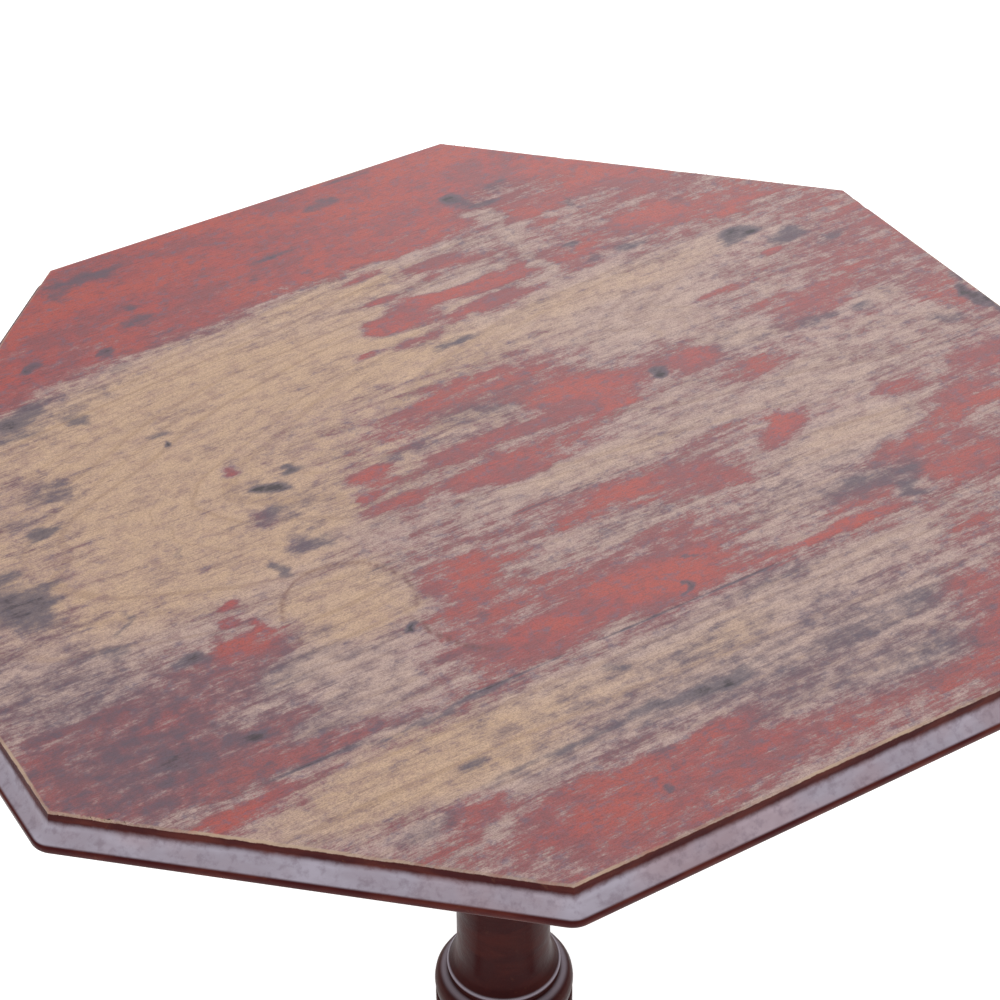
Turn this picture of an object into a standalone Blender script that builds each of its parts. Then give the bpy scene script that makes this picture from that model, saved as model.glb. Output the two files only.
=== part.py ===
"""Tilt top table: octagonal moulded top, turned column, three legs, block and catch.

Metres, +Z up. The origin is on the floor, on the column's axis. X runs along the grain
of the top and along the pivot pins, Y across the boards and along the battens.
"""
import math

import bmesh
import bpy
from mathutils import Matrix, Vector

# ---------------------------------------------------------------- driving dimensions
TABLE_HEIGHT = 0.720
GAP = 0.0003                 # left between pieces that touch

TOP_THICKNESS = 0.022
LIP_OVERHANG = 0.0123        # from the upper arris out to the lip
LIP_HEIGHT = 0.0052
ARRIS_DROP = 0.0046          # near-vertical fall from the arris to the cove
ARRIS_ROUND = 0.0007
# Upper arris of the hand-cut octagon, seen from above, clockwise from the back left
CORNERS = ((-0.167, 0.362), (0.169, 0.361), (0.396, 0.135), (0.397, -0.140),
           (0.170, -0.362), (-0.172, -0.359), (-0.397, -0.150), (-0.396, 0.138))
BOARDS = (("front_board", -0.500, -0.196), ("narrow_board", -0.196, -0.064),
          ("wide_board", -0.064, 0.244), ("back_board", 0.244, 0.500))

BLOCK_SIZE = 0.150
BLOCK_HEIGHT = 0.045
PIVOT_INSET = 0.0232         # pin axis from the block's front face and from its upper face
PIN_RADIUS = 0.007
PIN_INNER_X = 0.040

BATTEN_INNER_X = 0.0758
BATTEN_WIDTH = 0.040
BATTEN_DEPTH = 0.040
BATTEN_HALF_LENGTH = 0.320
BATTEN_CHAMFER = 0.030
BATTEN_TIP_DEPTH = 0.014
BATTEN_SCREW_Y = (-0.265, -0.130, 0.020, 0.150, 0.275)

TENON_RADIUS = 0.022
KERF_WIDTH = 0.0036
KERF_DEPTH = 0.030
DRUM_RADIUS = 0.0552
DRUM_BOTTOM_Z = 0.0550

LEG_ANGLES = (("leg_back", 60), ("leg_left", 180), ("leg_right", 300))
LEG_WIDTH = 0.034
FOOT_RADIUS = 0.0375
FOOT_CENTRE = 0.315
TONGUE_INNER = 0.0430
TONGUE_TOP_Z = 0.1460

PLATE_THICKNESS = 0.0025
PLATE_ARM_LENGTH = 0.098
PLATE_ARM_HALF_WIDTH = 0.009
NAIL_RADII = (0.032, 0.070, 0.090)

CATCH_DROP = 0.0125          # bolt axis below the top's underside
CATCH_Y = (0.084, 0.150)
CATCH_HALF_WIDTH = 0.019
CATCH_PLATE_THICKNESS = 0.0018
LUG_Y = ((0.0860, 0.0930), (0.1380, 0.1450))
LUG_HALF_WIDTH = 0.009
BOLT_RADIUS = 0.0042
BOLT_NOSE_Y = 0.0795
BOLT_TAIL_Y = 0.160
KNOB_Y = 0.128
STRIKE_THICKNESS = 0.002

COLUMN_STEPS = 32
PIN_SIDES = 24
SCREW_SIDES = 10
NAIL_SIDES = 8

# ------------------------------------------------------------------- derived levels
UNDERSIDE_Z = TABLE_HEIGHT - TOP_THICKNESS
BLOCK_TOP_Z = UNDERSIDE_Z - GAP
BLOCK_BOTTOM_Z = BLOCK_TOP_Z - BLOCK_HEIGHT
PIVOT_Y = -BLOCK_SIZE / 2 + PIVOT_INSET
PIVOT_Z = BLOCK_TOP_Z - PIVOT_INSET
BATTEN_BOTTOM_Z = UNDERSIDE_Z - BATTEN_DEPTH
BATTEN_CENTRE_X = BATTEN_INNER_X + BATTEN_WIDTH / 2
CATCH_Z = UNDERSIDE_Z - CATCH_DROP
SHOULDER_Z = BLOCK_BOTTOM_Z - GAP
PLATE_TOP_Z = DRUM_BOTTOM_Z - GAP
ALONG_X = (math.radians(90), 0, math.radians(90))   # outline in Y and Z, thickness in X
POINT_TO_MINUS_Y = (math.radians(90), 0, 0)         # local +Z turned to -Y


# ------------------------------------------------------------------------ the scene
def empty_scene():
    for old in list(bpy.data.objects):
        bpy.data.objects.remove(old, do_unlink=True)


def new_collection(name):
    collection = bpy.data.collections.new(name)
    bpy.context.scene.collection.children.link(collection)
    return collection


def new_material(name, colour, roughness, metallic=0.0):
    material = bpy.data.materials.new(name)
    material.use_nodes = True
    shader = material.node_tree.nodes["Principled BSDF"]
    shader.inputs["Base Color"].default_value = (*colour, 1.0)
    shader.inputs["Roughness"].default_value = roughness
    shader.inputs["Metallic"].default_value = metallic
    return material


empty_scene()
TABLE = new_collection("TiltTopTable")
CUTTERS = new_collection("Cutters")
WORN_PAINT = new_material("worn_red_paint", (0.42, 0.16, 0.11), 0.50)
DARK_PAINT = new_material("dark_red_paint", (0.075, 0.018, 0.014), 0.32)
BARE_WOOD = new_material("old_bare_wood", (0.26, 0.15, 0.08), 0.70)
IRON = new_material("forged_iron", (0.07, 0.065, 0.06), 0.55, 0.85)
BRASS = new_material("old_brass", (0.45, 0.30, 0.12), 0.40, 0.95)


# ------------------------------------------------------------------ making and cutting
def add_object(name, mesh, material=None, location=(0, 0, 0), rotation=(0, 0, 0)):
    """A part where a material is given, and a wire cutter or helper where none is."""
    obj = bpy.data.objects.new(name, mesh)
    obj.location = location
    obj.rotation_euler = rotation
    if material is None:
        CUTTERS.objects.link(obj)
        obj.hide_render = True
        obj.display_type = "WIRE"
    else:
        TABLE.objects.link(obj)
        mesh.materials.append(material)
    return obj


def mesh_from_bmesh(name, bm):
    bmesh.ops.recalc_face_normals(bm, faces=bm.faces)
    mesh = bpy.data.meshes.new(name)
    bm.to_mesh(mesh)
    bm.free()
    return mesh


def box(name, low, high, material=None):
    low, high = Vector(low), Vector(high)
    bm = bmesh.new()
    centre = Matrix.Translation((low + high) / 2)
    bmesh.ops.create_cube(bm, size=1, matrix=centre @ Matrix.Diagonal((*(high - low), 1)))
    return add_object(name, mesh_from_bmesh(name, bm), material)


def rod(name, radius, length, sides, material=None, location=(0, 0, 0), rotation=(0, 0, 0)):
    """A capped cylinder on its local Z axis, from 0 up to its length."""
    bm = bmesh.new()
    bmesh.ops.create_cone(bm, cap_ends=True, segments=sides, radius1=radius, radius2=radius,
                          depth=length, matrix=Matrix.Translation((0, 0, length / 2)))
    return add_object(name, mesh_from_bmesh(name, bm), material, location, rotation)


def turned(name, profile, steps, material=None, location=(0, 0, 0), rotation=(0, 0, 0)):
    """A lathe shape: the profile's (radius, height) points run from top to bottom."""
    mesh = bpy.data.meshes.new(name)
    edges = [(i, i + 1) for i in range(len(profile) - 1)]
    mesh.from_pydata([(radius, 0, height) for radius, height in profile], edges, [])
    obj = add_object(name, mesh, material, location, rotation)
    screw = obj.modifiers.new("turning", "SCREW")
    screw.axis = "Z"
    screw.steps = steps
    screw.render_steps = steps
    screw.use_merge_vertices = True
    screw.merge_threshold = 0.0001
    screw.use_smooth_shade = True
    return obj


def prism(name, outline, thickness, material=None, location=(0, 0, 0), rotation=(0, 0, 0)):
    """A flat outline as a filled 2D curve, made a mesh so that it can be cut."""
    curve = bpy.data.curves.new(name, "CURVE")
    curve.dimensions = "2D"
    curve.fill_mode = "BOTH"
    curve.extrude = thickness / 2
    spline = curve.splines.new("POLY")
    spline.points.add(len(outline) - 1)
    for point, (x, y) in zip(spline.points, outline):
        point.co = (x, y, 0, 1)
    spline.use_cyclic_u = True
    drawn = bpy.data.objects.new(name + "_outline", curve)
    bpy.context.scene.collection.objects.link(drawn)
    mesh = evaluated_mesh(drawn, name)
    bm = bmesh.new()
    bm.from_mesh(mesh)
    bmesh.ops.remove_doubles(bm, verts=bm.verts, dist=0.00001)
    bmesh.ops.recalc_face_normals(bm, faces=bm.faces)
    bm.to_mesh(mesh)
    bm.free()
    bpy.data.objects.remove(drawn, do_unlink=True)
    mesh.materials.clear()
    return add_object(name, mesh, material, location, rotation)


def evaluated_mesh(obj, name):
    bpy.context.view_layer.update()
    evaluated = obj.evaluated_get(bpy.context.evaluated_depsgraph_get())
    mesh = bpy.data.meshes.new_from_object(evaluated)
    mesh.name = name
    return mesh


def combine(target, helper, operation="DIFFERENCE"):
    modifier = target.modifiers.new(helper.name, "BOOLEAN")
    modifier.operation = operation
    modifier.object = helper


def arc(centre, radius, start, end, count):
    """Points on an arc, the angles in degrees from the first axis towards the second."""
    angles = [math.radians(start + (end - start) * i / (count - 1)) for i in range(count)]
    return [(centre[0] + radius * math.cos(a), centre[1] + radius * math.sin(a)) for a in angles]


def round_shading(obj, degrees=35):
    obj.data.shade_smooth()
    obj.data.set_sharp_from_angle(angle=math.radians(degrees))


# ------------------------------------------------------------------------- fasteners
def screw_profile(head_radius, shank_radius, length, grow=0.0):
    """Countersunk wood screw, tip up, its flat head at height 0. grow makes the hole."""
    cone = head_radius - shank_radius
    tip = length + 2 * grow
    return [(0, tip), (shank_radius * 0.5 + grow, tip - 0.0015),
            (shank_radius + grow, tip - 0.006), (shank_radius + grow, cone),
            (head_radius + grow, grow * 0.5), (head_radius + grow, -grow * 4), (0, -grow * 4)]


def screw_mesh(head_radius, shank_radius, length):
    """One slotted screw, shared by every copy of its size."""
    blank = turned("screw_blank", screw_profile(head_radius, shank_radius, length), SCREW_SIDES)
    slot = box("screw_slot", (-head_radius * 2, -0.0005, -0.001), (head_radius * 2, 0.0005, 0.0011))
    combine(blank, slot)
    mesh = evaluated_mesh(blank, "screw")
    for helper in (blank, slot):
        bpy.data.objects.remove(helper, do_unlink=True)
    mesh.materials.clear()
    return mesh


def drive_screw(name, mesh, sizes, location, pieces, turn, rotation=(0, 0, 0)):
    """Places a screw and cuts its hole in each piece that it passes through."""
    hole = turned(name + "_hole", screw_profile(*sizes, grow=GAP), SCREW_SIDES, None, location, rotation)
    for piece in pieces:
        combine(piece, hole)
    screw = add_object(name, mesh.copy(), IRON, location, rotation)
    screw.rotation_euler.rotate_axis("Z", turn)
    round_shading(screw)


# ---------------------------------------------------------------------------- the top
def offset_outline(corners, distance):
    """The outline moved out by the distance, with mitred corners."""
    count = len(corners)
    moved = []
    for i in range(count):
        before, here, after = (Vector(corners[(i + k) % count]) for k in (-1, 0, 1))
        edge_in, edge_out = (here - before).normalized(), (after - here).normalized()
        normal_in = Vector((-edge_in.y, edge_in.x))
        normal_out = Vector((-edge_out.y, edge_out.x))
        mitre = (normal_in + normal_out).normalized()
        moved.append(here + mitre * (distance / mitre.dot(normal_in)))
    return moved


def edge_profile():
    """The moulding as (overhang, drop below the top): arris, fall, cove and lip."""
    cove = LIP_OVERHANG - 0.0009
    cove_bottom = TOP_THICKNESS - LIP_HEIGHT
    rounding = 0.0010
    steps = arc((LIP_OVERHANG, cove_bottom - cove), cove, 180, 97, 6)
    return [(-ARRIS_ROUND, 0), (0, ARRIS_ROUND), (0.0006, ARRIS_DROP), *steps,
            (LIP_OVERHANG - rounding * 0.3, cove_bottom + rounding * 0.5),
            (LIP_OVERHANG, cove_bottom + rounding * 1.2),
            (LIP_OVERHANG, TOP_THICKNESS - rounding), (LIP_OVERHANG - rounding, TOP_THICKNESS)]


def make_board(name, low_y, high_y):
    """One edge-glued board: the moulded octagon between two planes across Y."""
    bm = bmesh.new()
    rings = []
    for overhang, drop in edge_profile():
        ring = [bm.verts.new((p.x, p.y, TABLE_HEIGHT - drop)) for p in offset_outline(CORNERS, overhang)]
        rings.append([bm.edges.new((ring[i - 1], ring[i])) for i in range(len(ring))])
    for upper, lower in zip(rings, rings[1:]):
        bmesh.ops.bridge_loops(bm, edges=upper + lower)
    for ring in (rings[0], rings[-1]):
        bmesh.ops.contextual_create(bm, geom=ring)
    for plane_y, direction in ((low_y + GAP / 2, -1), (high_y - GAP / 2, 1)):
        cut = bmesh.ops.bisect_plane(bm, geom=bm.verts[:] + bm.edges[:] + bm.faces[:], dist=1e-7,
                                     plane_co=(0, plane_y, 0), plane_no=(0, direction, 0),
                                     clear_outer=True)
        rim = [item for item in cut["geom_cut"] if isinstance(item, bmesh.types.BMEdge)]
        if rim:
            bmesh.ops.contextual_create(bm, geom=rim)
    return add_object(name, mesh_from_bmesh(name, bm), WORN_PAINT)


def make_top():
    boards = {name: make_board(name, low, high) for name, low, high in BOARDS}
    battens = [make_batten("batten_left", -1), make_batten("batten_right", 1)]
    sizes = (0.0048, 0.0024, 0.050)
    mesh = screw_mesh(*sizes)
    for side, batten in zip(("left", "right"), battens):
        for number, y in enumerate(BATTEN_SCREW_Y, start=1):
            board = next(boards[name] for name, low, high in BOARDS if low < y < high)
            place = (batten.location.x, y, BATTEN_BOTTOM_Z)
            drive_screw(f"batten_screw_{side}_{number}", mesh, sizes, place, (batten, board),
                        0.7 * number)
    return boards


def make_batten(name, side):
    half, tip = BATTEN_HALF_LENGTH, BATTEN_HALF_LENGTH - BATTEN_CHAMFER
    top, bottom = UNDERSIDE_Z - GAP, BATTEN_BOTTOM_Z
    outline = [(-half, top), (-half, top - BATTEN_TIP_DEPTH), (-tip, bottom),
               (tip, bottom), (half, top - BATTEN_TIP_DEPTH), (half, top)]
    batten = prism(name, outline, BATTEN_WIDTH, BARE_WOOD, (side * BATTEN_CENTRE_X, 0, 0), ALONG_X)
    through = rod(name + "_pin_hole", PIN_RADIUS + 2 * GAP, BATTEN_WIDTH * 1.5, PIN_SIDES, None,
                  (side * BATTEN_CENTRE_X - BATTEN_WIDTH * 0.75, PIVOT_Y, PIVOT_Z),
                  (0, math.radians(90), 0))
    combine(batten, through)
    edges = batten.modifiers.new("eased_edges", "BEVEL")
    edges.width = 0.0012
    edges.segments = 1
    edges.limit_method = "ANGLE"
    edges.angle_limit = math.radians(40)
    batten.modifiers.move(1, 0)
    return batten


# ------------------------------------------------------------------ block and pivots
def make_block():
    half = BLOCK_SIZE / 2
    # Round upper front edge, centred on the pins, so that the top can swing past it
    rounded = arc((PIVOT_Y, PIVOT_Z), PIVOT_INSET, 180, 90, 9)
    outline = [(-half, BLOCK_BOTTOM_Z), *rounded, (half, BLOCK_TOP_Z), (half, BLOCK_BOTTOM_Z)]
    block = prism("block", outline, BLOCK_SIZE, BARE_WOOD, (0, 0, 0), ALONG_X)
    socket = rod("tenon_socket", TENON_RADIUS + GAP, BLOCK_HEIGHT * 2, COLUMN_STEPS, None,
                 (0, 0, BLOCK_BOTTOM_Z - BLOCK_HEIGHT / 2))
    combine(block, socket)
    for name, side in (("pivot_pin_left", -1), ("pivot_pin_right", 1)):
        length = BATTEN_INNER_X + BATTEN_WIDTH - PIN_INNER_X
        start = (side * PIN_INNER_X, PIVOT_Y, PIVOT_Z)
        rotation = (0, side * math.radians(90), 0)
        hole_start = (side * (PIN_INNER_X - GAP), PIVOT_Y, PIVOT_Z)
        combine(block, rod(name + "_hole", PIN_RADIUS + GAP, length, PIN_SIDES, None, hole_start, rotation))
        pin = rod(name, PIN_RADIUS, length, PIN_SIDES, IRON, start, rotation)
        round_shading(pin)
    keeper = rod("bolt_socket", BOLT_RADIUS + 0.001, 0.040, 20, None,
                 (0, half + 0.025, CATCH_Z), POINT_TO_MINUS_Y)
    combine(block, keeper)
    make_strike(block, keeper)


def make_strike(block, keeper):
    face = BLOCK_SIZE / 2 + GAP
    strike = box("strike_plate", (-0.018, face, CATCH_Z - 0.011),
                 (0.018, face + STRIKE_THICKNESS, CATCH_Z + 0.010), BRASS)
    combine(strike, keeper)
    sizes = (0.0030, 0.0014, 0.012)
    mesh = screw_mesh(*sizes)
    for name, side in (("strike_screw_left", -1), ("strike_screw_right", 1)):
        place = (side * 0.012, face + STRIKE_THICKNESS, CATCH_Z)
        drive_screw(name, mesh, sizes, place, (strike, block), 0.4 * side, POINT_TO_MINUS_Y)


# ---------------------------------------------------------------------------- catch
def make_catch(board):
    plate_top = UNDERSIDE_Z - GAP
    plate_bottom = plate_top - CATCH_PLATE_THICKNESS
    plate = box("catch_plate", (-CATCH_HALF_WIDTH, CATCH_Y[0], plate_bottom),
                (CATCH_HALF_WIDTH, CATCH_Y[1], plate_top), BRASS)
    for number, (near, far) in enumerate(LUG_Y):
        lug = box(f"catch_lug_{number}", (-LUG_HALF_WIDTH, near, CATCH_Z - 0.0080),
                  (LUG_HALF_WIDTH, far, plate_bottom + CATCH_PLATE_THICKNESS / 2))
        combine(plate, lug, "UNION")
    guide = rod("catch_guide", BOLT_RADIUS + 2 * GAP, 0.120, 24, None, (0, 0.180, CATCH_Z),
                POINT_TO_MINUS_Y)
    combine(plate, guide)
    sizes = (0.0030, 0.0014, 0.012)
    mesh = screw_mesh(*sizes)
    for number, (x, y) in enumerate(((-0.014, 0.100), (0.014, 0.100), (-0.014, 0.131), (0.014, 0.131))):
        drive_screw(f"catch_screw_{number + 1}", mesh, sizes, (x, y, plate_bottom), (plate, board),
                    0.9 * number)

    length = BOLT_TAIL_Y - BOLT_NOSE_Y
    profile = [(0, length), (BOLT_RADIUS * 0.6, length), (BOLT_RADIUS, length - 0.0030),
               (BOLT_RADIUS, 0.0012), (BOLT_RADIUS - 0.0010, 0), (0, 0)]
    bolt = turned("catch_bolt", profile, 20, IRON, (0, BOLT_TAIL_Y, CATCH_Z), POINT_TO_MINUS_Y)
    stem_top = CATCH_Z + 0.001
    combine(bolt, rod("knob_socket", 0.0018 + GAP, 0.020, 16, None, (0, KNOB_Y, stem_top - 0.020 + GAP)))
    stem = [(0, 0), (0.0018, 0), (0.0018, -0.0070)]
    knob = [*stem, *arc((0, -0.0125), 0.0055, 68, -90, 7)]
    turned("catch_knob", [*knob[:-1], (0, -0.0180)], 16, BRASS, (0, KNOB_Y, stem_top))


# ------------------------------------------------------------------------ the column
def column_profile():
    """Radius and height down the turned column, tenon first."""
    tenon = [(0, BLOCK_TOP_Z - 0.0005), (TENON_RADIUS, BLOCK_TOP_Z - 0.0005),
             (TENON_RADIUS, SHOULDER_Z)]
    cap = [(0.0415, SHOULDER_Z), (0.0425, SHOULDER_Z - 0.002), (0.0425, SHOULDER_Z - 0.008),
           (0.0395, SHOULDER_Z - 0.011)]
    hollow = arc((0.0395, SHOULDER_Z - 0.0235), 0.0110, 100, 195, 5)
    ring = arc((0.0300, SHOULDER_Z - 0.0335), 0.0048, 75, -75, 5)
    shaft_top, shaft_bottom = SHOULDER_Z - 0.042, 0.236
    shaft = []
    for i in range(7):
        t = i / 6
        swell = 0.0275 + 0.0095 * math.sin(t * math.pi / 2) ** 1.3
        shaft.append((swell, shaft_top + (shaft_bottom - shaft_top) * t))
    flare = [(0.0371, 0.2280), (0.0378, 0.2195), (0.0398, 0.2120), (0.0432, 0.2070)]
    bead = arc((0.0428, 0.2040), 0.0026, 70, -60, 4)
    shoulder = [(0.0428, 0.1994), (0.0440, 0.1976), (0.0490, 0.1962), (0.0528, 0.1935)]
    torus = [(0.0549, 0.1895), (0.0556, 0.1845), (0.0552, 0.1790), (0.0540, 0.1735),
             (0.0531, 0.1715)]
    drum = [(0.0531, 0.1700), (DRUM_RADIUS, 0.1692), (DRUM_RADIUS, DRUM_BOTTOM_Z + 0.004),
            (DRUM_RADIUS - 0.003, DRUM_BOTTOM_Z), (0, DRUM_BOTTOM_Z)]
    return tenon + cap + hollow + ring + shaft + flare + bead + shoulder + torus + drum


def tongue_outline(grow):
    """Dovetail in plan: narrow at the drum's surface, wide at its inner end."""
    narrow, wide = 0.0065 + grow, 0.0095 + grow
    outer = DRUM_RADIUS + 0.008
    slope = (wide - narrow) / (DRUM_RADIUS - TONGUE_INNER)
    neck = narrow - slope * (outer - DRUM_RADIUS)
    inner = TONGUE_INNER - grow
    return [(inner, -wide), (outer, -neck), (outer, neck), (inner, wide)]


def make_column():
    column = turned("column", column_profile(), COLUMN_STEPS, DARK_PAINT)
    for name, angle in LEG_ANGLES:
        height = TONGUE_TOP_Z + GAP - DRUM_BOTTOM_Z + 0.02
        slot = prism(name + "_slot", tongue_outline(GAP), height, None,
                     (0, 0, TONGUE_TOP_Z + GAP - height / 2), (0, 0, math.radians(angle)))
        combine(column, slot)
    kerf = box("tenon_kerf", (-KERF_WIDTH / 2 - GAP, -0.030, BLOCK_TOP_Z - KERF_DEPTH),
               (KERF_WIDTH / 2 + GAP, 0.030, BLOCK_TOP_Z + 0.010))
    combine(column, kerf)
    wedge_top, wedge_bottom = BLOCK_TOP_Z - 0.0006, BLOCK_TOP_Z - KERF_DEPTH + 0.002
    outline = [(-KERF_WIDTH / 2, wedge_top), (-0.0007, wedge_bottom), (0.0007, wedge_bottom),
               (KERF_WIDTH / 2, wedge_top)]
    prism("tenon_wedge", outline, 0.038, BARE_WOOD, (0, 0, 0), (math.radians(90), 0, 0))
    return column


# -------------------------------------------------------------------------- the legs
def leg_stations():
    """Lower point, upper point (radius, height) and width, from the drum to the foot."""
    return [((0.0400, 0.0553), (0.0400, 0.1500), LEG_WIDTH),
            ((0.0700, 0.0553), (0.0700, 0.1515), LEG_WIDTH),
            ((0.1020, 0.0553), (0.1000, 0.1490), 0.0345),
            ((0.1200, 0.0585), (0.1250, 0.1410), 0.0345),
            ((0.1400, 0.0610), (0.1500, 0.1270), 0.0340),
            ((0.1640, 0.0590), (0.1780, 0.1080), 0.0325),
            ((0.1900, 0.0510), (0.2060, 0.0875), 0.0305),
            ((0.2160, 0.0395), (0.2320, 0.0690), 0.0285),
            ((0.2420, 0.0275), (0.2560, 0.0530), 0.0270),
            ((0.2660, 0.0170), (0.2780, 0.0395), 0.0275),
            ((0.2880, 0.0085), (0.2980, 0.0285), 0.0330),
            ((0.3100, 0.0050), (0.3180, 0.0205), 0.0400)]


def section(lower, upper, width, count=16):
    """A rounded rectangle that stands on the line from the lower to the upper point."""
    low, high = Vector((lower[0], 0, lower[1])), Vector((upper[0], 0, upper[1]))
    centre, half = (low + high) / 2, (high - low) / 2
    points = []
    for i in range(count):
        angle = 2 * math.pi * (i + 0.5) / count
        across, along = math.cos(angle), math.sin(angle)
        squared = [math.copysign(abs(value) ** 0.5, value) for value in (across, along)]
        points.append(centre + Vector((0, squared[0] * width / 2, 0)) + half * squared[1])
    return points


def leg_mesh():
    bm = bmesh.new()
    rings = []
    for station in leg_stations():
        ring = [bm.verts.new(point) for point in section(*station)]
        rings.append([bm.edges.new((ring[i - 1], ring[i])) for i in range(len(ring))])
    for first, second in zip(rings, rings[1:]):
        bmesh.ops.bridge_loops(bm, edges=first + second)
    for ring in (rings[0], rings[-1]):
        bmesh.ops.contextual_create(bm, geom=ring)
    blank = add_object("leg_blank", mesh_from_bmesh("leg_blank", bm))

    foot_profile = [(0, 0.0185), (0.024, 0.0180), (0.0330, 0.0155), (FOOT_RADIUS, 0.0100),
                    (FOOT_RADIUS - 0.0008, 0.0055), (0.0320, 0), (0, 0)]
    foot = turned("foot_blank", foot_profile, 24, None, (FOOT_CENTRE, 0, 0))
    drum = rod("drum_hollow", DRUM_RADIUS + GAP, 0.200, 64)
    height = TONGUE_TOP_Z - DRUM_BOTTOM_Z - GAP
    tongue = prism("tongue", tongue_outline(0), height, None, (0, 0, TONGUE_TOP_Z - height / 2))
    combine(blank, foot, "UNION")
    combine(blank, drum)
    combine(blank, tongue, "UNION")
    mesh = evaluated_mesh(blank, "leg")
    for helper in (blank, foot, drum, tongue):
        bpy.data.objects.remove(helper, do_unlink=True)
    mesh.materials.clear()
    return mesh


def make_base():
    column = make_column()
    mesh = leg_mesh()
    legs = []
    for name, angle in LEG_ANGLES:
        leg = add_object(name, mesh.copy(), DARK_PAINT, (0, 0, 0), (0, 0, math.radians(angle)))
        round_shading(leg, 40)
        legs.append(leg)
    plate = prism("brace_plate", plate_outline(), PLATE_THICKNESS, IRON,
                  (0, 0, PLATE_TOP_Z - PLATE_THICKNESS / 2))
    for (name, angle), leg in zip(LEG_ANGLES, legs):
        for number, radius in enumerate(NAIL_RADII, start=1):
            direction = Vector((math.cos(math.radians(angle)), math.sin(math.radians(angle)), 0))
            wood = column if radius < DRUM_RADIUS else leg
            drive_nail(f"brace_nail_{name[4:]}_{number}", direction * radius, (plate, wood))


def plate_outline():
    outline = []
    for name, angle in LEG_ANGLES:
        turn = Matrix.Rotation(math.radians(angle), 2)
        tip = arc((PLATE_ARM_LENGTH - PLATE_ARM_HALF_WIDTH, 0), PLATE_ARM_HALF_WIDTH, -90, 90, 7)
        valley = Matrix.Rotation(math.radians(60), 2) @ Vector((0.024, 0))
        outline += [turn @ Vector(point) for point in tip] + [turn @ valley]
    return outline


def drive_nail(name, place, pieces):
    """A nail with a low rose head, driven up through the iron plate."""
    bottom = PLATE_TOP_Z - PLATE_THICKNESS - GAP
    shank, length = 0.0016, 0.022
    hole = rod(name + "_hole", shank + GAP, length + 0.004, NAIL_SIDES, None, (place.x, place.y, bottom - 0.003))
    for piece in pieces:
        combine(piece, hole)
    profile = [(0, length), (shank * 0.7, length - 0.004), (shank, length - 0.008), (shank, 0),
               (0.0042, 0), (0.0040, -0.0006), (0.0022, -0.0016), (0, -0.0018)]
    turned(name, profile, NAIL_SIDES, IRON, (place.x, place.y, bottom))


TOP_BOARDS = make_top()
make_block()
make_catch(TOP_BOARDS["wide_board"])
make_base()
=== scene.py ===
"""Looks of the tilt top table: worn red paint on old boards, dark turned column, iron and brass fittings."""
import math

import bmesh
import bpy
import numpy as np
from mathutils import Matrix, Vector


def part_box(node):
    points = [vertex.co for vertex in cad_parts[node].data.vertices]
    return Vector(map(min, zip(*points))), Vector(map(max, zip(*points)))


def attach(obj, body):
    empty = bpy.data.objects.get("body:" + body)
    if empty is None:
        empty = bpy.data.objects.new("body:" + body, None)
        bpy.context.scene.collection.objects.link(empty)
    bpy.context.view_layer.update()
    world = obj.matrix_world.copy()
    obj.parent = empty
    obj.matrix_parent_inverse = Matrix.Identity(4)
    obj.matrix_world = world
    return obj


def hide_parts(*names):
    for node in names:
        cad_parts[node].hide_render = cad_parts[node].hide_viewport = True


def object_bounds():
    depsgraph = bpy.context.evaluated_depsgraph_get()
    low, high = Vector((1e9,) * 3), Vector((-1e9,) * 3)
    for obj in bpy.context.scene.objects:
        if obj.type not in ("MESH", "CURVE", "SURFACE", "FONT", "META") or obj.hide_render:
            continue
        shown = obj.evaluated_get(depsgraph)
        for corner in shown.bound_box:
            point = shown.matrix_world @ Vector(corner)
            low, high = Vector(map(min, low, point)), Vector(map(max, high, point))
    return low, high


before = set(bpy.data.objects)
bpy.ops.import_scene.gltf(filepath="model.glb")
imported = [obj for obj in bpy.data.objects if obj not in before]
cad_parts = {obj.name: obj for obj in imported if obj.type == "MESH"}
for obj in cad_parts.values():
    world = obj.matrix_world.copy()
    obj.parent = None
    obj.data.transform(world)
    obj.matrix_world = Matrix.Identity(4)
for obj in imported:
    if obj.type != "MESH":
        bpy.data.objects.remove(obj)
CAD_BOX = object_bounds()

# ---- sizes, in metres
TOP_Z = CAD_BOX[1].z
TOP_THICKNESS = 0.022
LIP_OVERHANG = 0.0123
LIP_HEIGHT = 0.0052
ARRIS_INSET = 0.0014            # where the flat top starts to round over
ARRIS_DROP = 0.0046
LIP_CORNER_RADIUS = 0.016       # the lip's corners are rounded in plan, the arris is not
CORNERS = ((-0.167, 0.362), (0.169, 0.361), (0.396, 0.135), (0.397, -0.140),
           (0.170, -0.362), (-0.172, -0.359), (-0.397, -0.150), (-0.396, 0.138))
FRONT_SEAM_Y, MIDDLE_SEAM_Y, BACK_SEAM_Y = -0.196, -0.064, 0.244
BEYOND = 0.5                    # past the top's edge in either direction
BOARDS = (("front_board", -BEYOND, FRONT_SEAM_Y), ("narrow_board", FRONT_SEAM_Y, MIDDLE_SEAM_Y),
          ("wide_board", MIDDLE_SEAM_Y, BACK_SEAM_Y), ("back_board", BACK_SEAM_Y, BEYOND))
SEAM_GAP = 0.00002
# Each seam: (y, depth of the worn groove, strength of the dirt in it)
SEAMS = ((FRONT_SEAM_Y, 0.00030, 0.85), (MIDDLE_SEAM_Y, 0.00012, 0.45), (BACK_SEAM_Y, 0.00010, 0.35))
GRID_STEP = (0.0030, 0.0020)    # along and across the grain

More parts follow.
